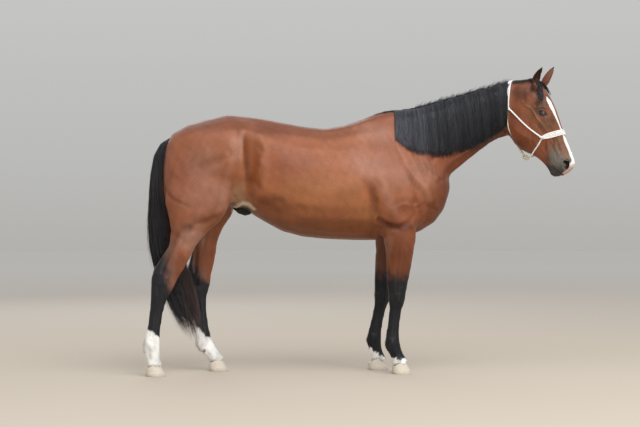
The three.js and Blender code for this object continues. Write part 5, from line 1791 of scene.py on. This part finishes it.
# %% Ropes
def rope_finish(name, tint, low):
    made, tree, shader = finish_of(name, 0.82, Sheen_Weight=0.25, Sheen_Roughness=0.6)
    where = objects_place(tree)
    fuzz = placed_group(tree, streaks, where, Across=1100.0, Along=500.0, Turn=0.8)
    dirt = noise(tree, where, 38.0, 4.0)
    # The grooves between the strands are painted darker, as painted shade; the dirt noise varies the tone at
    # random.
    level = maths(tree, "ADD", spread(tree, attribute(tree, "lobe"), 0.0, 1.0, 0.05, 0.62),
                  swing(tree, dirt, 0.0, 0.3))
    fibre = ramp(tree, level, (0.0, low), (0.75, tint))
    tree.links.new(times(tree, fibre, swing(tree, fuzz.outputs["Streak"], 0.86, 1.08)),
                   shader.inputs["Base Color"])
    tree.links.new(swing(tree, dirt, 0.74, 0.9), shader.inputs["Roughness"])
    bumped(tree, shader, fuzz.outputs["Streak"], 0.5, 0.0008)
    return made


white_rope = rope_finish("white_rope", (0.86, 0.85, 0.82), (0.46, 0.43, 0.39))
worn_rope = rope_finish("worn_rope", (0.62, 0.58, 0.42), (0.27, 0.24, 0.16))


ROPE_STEP = 2.6
STRANDS = 3


def smooth_route(route):
    route = np.asarray(route, float)
    lengths = np.concatenate([[0], np.cumsum(np.linalg.norm(np.diff(route, axis=0), axis=1))])
    fine = np.linspace(0, lengths[-1], max(int(lengths[-1] / ROPE_STEP), 8))
    return eased(between(route, lengths, fine), 30)


def rope(name, route, radius, turn, pitch, around=15):
    """A laid rope along a route in the head's millimetres, with rounded ends."""
    path = smooth_route(route)
    way = unit(np.gradient(path, axis=0))
    side = np.cross(way[0], [0.31, 0.2, 0.93])
    frames = []
    for t in way:
        side = unit(side - t * (side @ t))
        frames.append((side, np.cross(t, side)))
    gone = np.concatenate([[0], np.cumsum(np.linalg.norm(np.diff(path, axis=0), axis=1))])
    angle = np.arange(around) * 2 * np.pi / around
    winding = turn * 2 * np.pi * gone / pitch
    lobe = np.abs(np.cos(STRANDS / 2 * (angle[None] - winding[:, None])))
    ends = np.sqrt(np.clip(1 - (1 - np.minimum(gone, gone[-1] - gone) / radius).clip(0, 1) ** 2, 0.04, 1))
    size = radius * (0.76 + 0.24 * lobe) * ends[:, None]
    a, b = (np.array([f[k] for f in frames]) for k in (0, 1))
    spots = path[:, None] + size[..., None] * (np.cos(angle)[None, :, None] * a[:, None]
                                              + np.sin(angle)[None, :, None] * b[:, None])
    n = len(path)
    faces = [(k * around + i, k * around + (i + 1) % around, (k + 1) * around + (i + 1) % around,
              (k + 1) * around + i) for k in range(n - 1) for i in range(around)]
    faces += [tuple(range(around))[::-1], tuple((n - 1) * around + i for i in range(around))]
    mesh = bpy.data.meshes.new(name)
    mesh.from_pydata(head_at(spots.reshape(-1, 3)).tolist(), [], faces)
    mesh.update()
    piece = linked(name, mesh)
    mark(piece, "lobe", lobe)
    return piece


OUTSIDE = 400.0
HOOP_STEPS, SIDE_STEPS = 48, 26


def laid_on(aims, outs, lift):
    """Where sight lines from outside meet the skin, lifted off it; all on the head's axes."""
    spots = []
    for aim, out in zip(np.asarray(aims, float), unit(np.asarray(outs, float))):
        hit = skin_tree.ray_cast(Vector(head_at(aim + out * OUTSIDE)), Vector(tuple(-out @ HEAD_AXES)))[0]
        spots.append((head_of(hit) if hit is not None else aim) + out * lift)
    return np.array(spots)


def hoop_route(aim, ahead, reach, lift, shift, gather=0.0):
    """A loop over the head, from reach degrees on one side to as many on the other."""
    turn = np.radians(np.linspace(-reach, reach, HOOP_STEPS))
    across = np.array([-ahead[1], 0, ahead[0]])
    shift = shift * (1 - gather * np.abs(np.linspace(-1, 1, HOOP_STEPS)) ** 9)[:, None]
    outs = np.stack([ahead[0] * np.cos(turn), np.sin(turn), ahead[1] * np.cos(turn)], 1)
    return laid_on(np.array([aim[0], 0, aim[1]]) + across * shift, outs, lift)


def side_route(sign, line, lift):
    """A line drawn on the side view, laid on one side of the head."""
    aims = between(np.array(line, float), np.linspace(0, 1, len(line)), np.linspace(0, 1, SIDE_STEPS))
    aims = np.insert(aims, 1, 0, axis=1)
    return laid_on(aims, np.tile([0, sign, 0], (SIDE_STEPS, 1)), lift)


def coil(centre, axis, radius, turns, length, tall):
    """Turns of rope wound round an axis, the beginning of every knot."""
    axis = unit(np.array(axis, float))
    side = unit(np.cross(axis, [0.2, 0.3, 0.9]))
    other = np.cross(axis, side)
    t = np.linspace(0, 1, int(26 * turns))
    angle = 2 * np.pi * turns * t
    return (np.asarray(centre, float) + axis * ((t - 0.5) * length)[:, None]
            + radius * (np.cos(angle)[:, None] * side + tall * np.sin(angle)[:, None] * other))


def knotted(middle, coils, pitch, sign=1):
    """A knot of several coils round one place."""
    return [rope("coil", coil(middle + np.array(aside) * [1, sign, 1], axis, size, turns, length, tall),
                 radius, 1, pitch, 12) for aside, axis, size, turns, length, tall, radius in coils]


def finish_rope(pieces, name, finish, *nodes):
    piece = joined(pieces, name)
    piece.data.shade_smooth()
    dress(piece, finish, "halter_rope", *nodes)
    print(name, faces_of(piece), "triangles")


# %% Lay the halter on the head
CHEEK_LINE = [[-14, 1654], [24, 1618], [70, 1572], [120, 1526], [165, 1492], [195, 1470]]
THROAT_LINE = [[-22, 1640], [-25, 1592], [-24, 1552], [-21, 1524]]
JAW_LINE = [[194, 1462], [176, 1432], [158, 1408], [138, 1388]]
UNDER_JAW = [[120, 40, 1362], [98, 20, 1356], [82, 6, 1354]]
UNDER_THROAT = [[-4, 42, 1486], [10, 28, 1453], [29, 20, 1418], [45, 14, 1386], [66, 6, 1362]]
KNOT = np.array([76, 0, 1354])
RING_COILS = [  # place beside the knot's middle, axis, radius, turns, length, flatness, rope's radius
    ([0, 0, 0], [0.8, 0, -0.55], 9.5, 2.6, 20, 0.9, 5.0),
    ([5, 2.5, 2], [0.3, 0, 0.95], 10, 1.8, 11, 0.85, 4.8),
]
TOP_COILS = [([0, 0, 0], [0.2, 0, 1], 8.0, 2.2, 14, 0.7, 4.6)]
KNOT_COILS = [
    ([0, 0, 0], [1, 0.1, 0.3], 10.5, 3.2, 26, 0.85, 5.0),
    ([2, 0, 0], [0.2, 1, 0.1], 11.5, 1.5, 10, 0.9, 4.8),
    ([-10, 0, -13], [0.15, 1, 0], 10.5, 1.15, 6, 1.2, 4.6),
    ([-14, 6, 2], [0.5, 0.7, 0.5], 13, 1.3, 8, 0.7, 4.6),
    ([10, -5, -8], [0.6, -0.6, 0.4], 12, 1.4, 8, 0.8, 4.6),
]
crown = [rope(f"crown_{k}", hoop_route((-22, 1740), (0.02, 1.0), 138, 5.2, shift), 5.4, turn, 18)
         for k, (shift, turn) in enumerate([(-5.2, 1), (5.2, 1)])]
finish_rope(crown, "rope_crown", white_rope, "halter_crown")
band = [rope(f"band_{k}", hoop_route((228, 1478), (0.956, 0.292), 112, 4.6, shift, 0.75), 5.0, turn, 13)
        for k, (shift, turn) in enumerate([(-13, 1), (-4.3, -1), (4.3, 1), (13, -1)])]
finish_rope(band, "rope_noseband", white_rope, "halter_noseband")
for side, sign in SIGN.items():
    cheek = side_route(sign, CHEEK_LINE, 5.2)
    cheek_ropes = [rope("cheek", cheek, 5.4, 1, 18)]
    cheek_ropes += knotted(cheek[-1], RING_COILS, 15, sign) + knotted(cheek[0], TOP_COILS, 15)
    finish_rope(cheek_ropes, "rope_cheek_" + side, white_rope, "halter_cheek_" + side)
    for name, line, lift, below, radius, pitch, finish in (
            ("jaw", JAW_LINE, 5.0, UNDER_JAW, 4.8, 16, white_rope),
            ("throat", THROAT_LINE, 4.6, UNDER_THROAT, 4.4, 15, worn_rope)):
        route = np.vstack([side_route(sign, line, lift), np.array(below, float) * [1, sign, 1]])
        finish_rope([rope(name, route, radius, 1, pitch)], f"rope_{name}_{side}", finish,
                    f"halter_{name}_{side}")
finish_rope(knotted(KNOT, KNOT_COILS, 16), "rope_knot", worn_rope, "halter_knot")
print("halter laid", round(time.time() - started, 1), "s")

# %% [markdown]
# ## Tufts of the short coat
# A horse's summer coat lies flat and is mostly a matter of gloss and fine relief. It breaks the
# form only in places: the rims of the ears, the backs of the legs and the hair over the hoof, the
# jaw, the breast, the belly and the back. Small locks grow there, mostly in the colour painted on the
# skin under them, its painted shade and sheen included.

# %% Scatter roots where a mask asks for them
spots_all = centres_of(skin)
ways_all = read(skin.data.polygons, "normal").astype(float)
areas = read(skin.data.polygons, "area", 1)[:, 0]
mm_all, head_all = drawn(spots_all), head_of(spots_all)
head_ways = ways_all @ HEAD_AXES.T
print("skin area", round(float(areas.sum()), 2), "m2")


def flat_on(way, facing):
    """Takes out of a direction what points off the skin."""
    return way - facing * (way * facing).sum(1)[:, None]


def lie_of_coat(mm, head, facing):
    """Which way the hair points: back and down on the body, down the legs, up the ears."""
    flow = np.tile([-0.82, 0.0, -0.57], (len(mm), 1))
    steep = fade(-mm[:, 2], -1000, -620)[:, None]
    flow = flow * (1 - steep) + np.array([-0.10, 0, -1.0]) * steep
    neck = fade(mm[:, 0], 330, 560)[:, None]
    flow = flow * (1 - neck) + np.array([-0.72, 0, -0.7]) * neck
    on_head = fade(head[:, 0], -40, 20)[:, None]
    flow = flow * (1 - on_head) + (np.array([-0.35, 0, 0.94]) @ HEAD_AXES) * on_head
    return unit(flat_on(flow, facing))


IN_SKIN, IN_BOX = 0.0012, 0.0015  # how deep a root stands, and how far inside the solids' box it all keeps


def tufts(name, mask, count, size, half, stand, steps=4, flow=lie_of_coat, tint=None, seed=1):
    """Roots are drawn by mask and area; size is the range of lengths and half the half width, in mm."""
    local = np.random.default_rng(seed)
    chance = np.clip(mask, 0, None) * areas
    pick = local.choice(len(chance), count, p=chance / chance.sum())
    width = np.sqrt(areas[pick])[:, None]
    root = spots_all[pick] + np.cross(ways_all[pick], local.normal(size=(count, 3))) * width * 0.4
    normal = ways_all[pick]
    way = flow(mm_all[pick], head_all[pick], normal) + local.normal(0, 0.16, (count, 3))
    way = unit(flat_on(way, normal))
    s = np.linspace(0, 1, steps)[None, :, None]
    long_by = local.uniform(*size, count)[:, None, None] / 1000
    tilt = (stand * local.uniform(0.6, 1.4, count))[:, None, None]
    rise = normal[:, None] * (long_by * tilt * s * (1.25 - 0.55 * s))
    paths = root[:, None] + way[:, None] * long_by * s + rise - normal[:, None] * IN_SKIN
    paths = np.clip(paths, CAD_LOW + IN_BOX, CAD_HIGH - IN_BOX)
    wide = (half * local.uniform(0.7, 1.3, count))[:, None] * taper(steps, 0.8, 0.1)[None] / 1000
    if tint is None:
        rgb = markings_and_painted_light(root, normal)[0] * local.uniform(0.8, 1.15, (count, 1))
    else:
        rgb = np.tile(tint, (count, 1)) * local.uniform(0.8, 1.2, (count, 1))
    outward = np.repeat(normal[:, None], steps, 1)
    locks(name, paths, outward, wide, wide * 0.6, rgb, face_uv[pick], tuft_coat, "coat")


def tuft_finish():
    made, tree, shader = finish_of("coat_tufts", 0.5, Specular_IOR_Level=0.35, Sheen_Weight=0.12)
    grain = noise(tree, objects_place(tree), 300.0)
    tone = maths(tree, "MULTIPLY", swing(tree, grain, 0.88, 1.1),
                 spread(tree, attribute(tree, "along"), 0.0, 1.0, 0.92, 1.12))
    tree.links.new(times(tree, attribute(tree, "hide_and_painted_light", "Color"), tone), shader.inputs["Base Color"])
    tree.links.new(swing(tree, grain, 0.42, 0.58), shader.inputs["Roughness"])
    return made


tuft_coat = tuft_finish()

# %% Grow the tufts
side_all = np.abs(head_all[:, 1])
on_head_all = fade(head_all[:, 0], -60, -10)
down_face = fade(-ways_all[:, 2], 0.15, 0.8)
ear_all = (head_all[:, 2] > 1806) * (side_all > 34) * (head_all[:, 0] > 90)
ear_front = fade(head_ways[:, 0] * 0.73 + head_ways[:, 1] * np.sign(head_all[:, 1]) * 0.68, 0.0, 0.5)
behind_leg = np.zeros(len(mm_all))
coronet_all, feather_all = np.zeros(len(mm_all)), np.zeros(len(mm_all))
for leg in LEG_NAMES:
    chart, on_leg = leg_chart(mm_all, leg), of_leg(mm_all, leg)
    last = len(JOINTS[leg]) - 1
    rear = fade(-ways_all[:, 0], 0.2, 0.8)
    coronet_all += on_leg * fade(chart[:, 0], last - 0.42, last - 0.2)
    feather_all += on_leg * rear * np.exp(-((chart[:, 0] - (last - 1 + 0.06)) / 0.13) ** 2)
    behind_leg += on_leg * rear * fade(chart[:, 0], last - 2 + 0.1, last - 2 + 0.25)


def down_leg(mm, head, facing):
    return flat_on(np.tile([-0.25, 0, -1.0], (len(mm), 1)), facing)


def over_withers(mm, head, facing):
    return np.tile([-0.55, -0.75, -0.2], (len(mm), 1))


def up_ear(mm, head, facing):
    return flat_on(np.tile(np.array([0.3, 0, 0.95]) @ HEAD_AXES, (len(mm), 1)), facing)


body_edge = (down_face * (mm_all[:, 2] > 760) * (1 - on_head_all)
             + 0.8 * np.exp(-((mm_all[:, 0] - 450) / 120) ** 2) * np.exp(-((mm_all[:, 2] - 1000) / 160) ** 2)
             + 0.7 * np.exp(-((mm_all[:, 0] - 110) / 80) ** 2) * np.exp(-((mm_all[:, 2] - 900) / 60) ** 2)
             + 0.9 * blot(mm_all, (-750, 1060), (80, 60)))
tufts("tufts_belly_breast", body_edge, 4200, (9, 17), 1.1, 0.12, seed=21)
jaw_edge = (on_head_all * down_face * (head_all[:, 2] > 1340) * (head_all[:, 0] < 200)
            + 0.5 * np.exp(-((head_all[:, 0] + 30) / 40) ** 2) * (mm_all[:, 0] > 700))
tufts("tufts_jaw", jaw_edge, 1500, (6, 13), 0.7, 0.16, seed=22)
tufts("tufts_ears", ear_all * (0.25 + ear_front), 3000, (4, 9), 0.32, 0.13, flow=up_ear, seed=23)
tufts("tufts_fetlock", feather_all, 2200, (11, 26), 0.5, 0.3, steps=5, flow=down_leg, seed=24)
tufts("tufts_coronet", coronet_all, 2600, (9, 17), 0.9, 0.16, flow=down_leg, seed=25)
tufts("tufts_cannon", behind_leg, 1600, (7, 14), 0.7, 0.16, flow=down_leg, seed=26)
tufts("tufts_topline", fade(ways_all[:, 2], 0.75, 0.97) * (mm_all[:, 2] > 1450) * (mm_all[:, 0] < 330),
      1400, (6, 10), 0.8, 0.03, seed=27)
tufts("tufts_dock", blot(mm_all, (-1160, 1480), (60, 70)), 500, (9, 16), 0.7, 0.05, seed=28)
crest_gap = np.abs(mm_all[:, 1] - crest_at(mm_all[:, 0])[0])
withers = (1 - fade(crest_gap, 6, 16)) * fade(mm_all[:, 0], 80, 150) * (1 - fade(mm_all[:, 0], 215, 245))
tufts("tufts_withers", withers * (ways_all[:, 2] > 0.3), 800, (12, 26), 0.5, 0.10, steps=5,
      flow=over_withers, tint=np.array([0.018, 0.017, 0.019]), seed=29)
print("tufts grown", round(time.time() - started, 1), "s")

# %% Whiskers and lashes
muzzle_all = (head_all[:, 0] > 262) * (head_all[:, 2] < 1330) * (0.3 + down_face)
tufts("whiskers", muzzle_all, 90, (5, 11), 0.22, 0.9, steps=5, tint=np.array([0.05, 0.045, 0.04]), seed=31)
LASHES = 50
RIM = EYE_RADIUS * 1000 + 2.2
for side, sign in SIGN.items():
    share = rng.uniform(-18, 16, LASHES)
    rise = lid_edge(share)[0] + 0.4
    axes = eye_axes(sign)
    out_by = np.sqrt(np.maximum(RIM ** 2 - share ** 2 - rise ** 2, 9))
    root = EYE[side] + np.stack([share, rise, out_by], 1) @ axes
    s = np.linspace(0, 1, 6)[None, :, None]
    reach = rng.uniform(6, 11, LASHES)[:, None, None]
    fan = (share / 40)[:, None, None]
    way = axes[2] * 0.8 + axes[1] * -0.35
    paths = root[:, None] + reach * (way * s + axes[0] * fan * s + axes[1] * 0.35 * s ** 2)
    half = np.tile(taper(6, 1, 0.1) * 0.0005, (LASHES, 1))
    locks("lashes_" + side, head_at(paths), np.tile(axes[1] @ HEAD_AXES, (LASHES, 6, 1)), half, half,
          np.tile([0.012, 0.01, 0.01], (LASHES, 1)), skin_under(head_at(root))[2], long_hair, "coat")


# %% Finish
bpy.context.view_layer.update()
print("seconds", round(time.time() - started, 1))
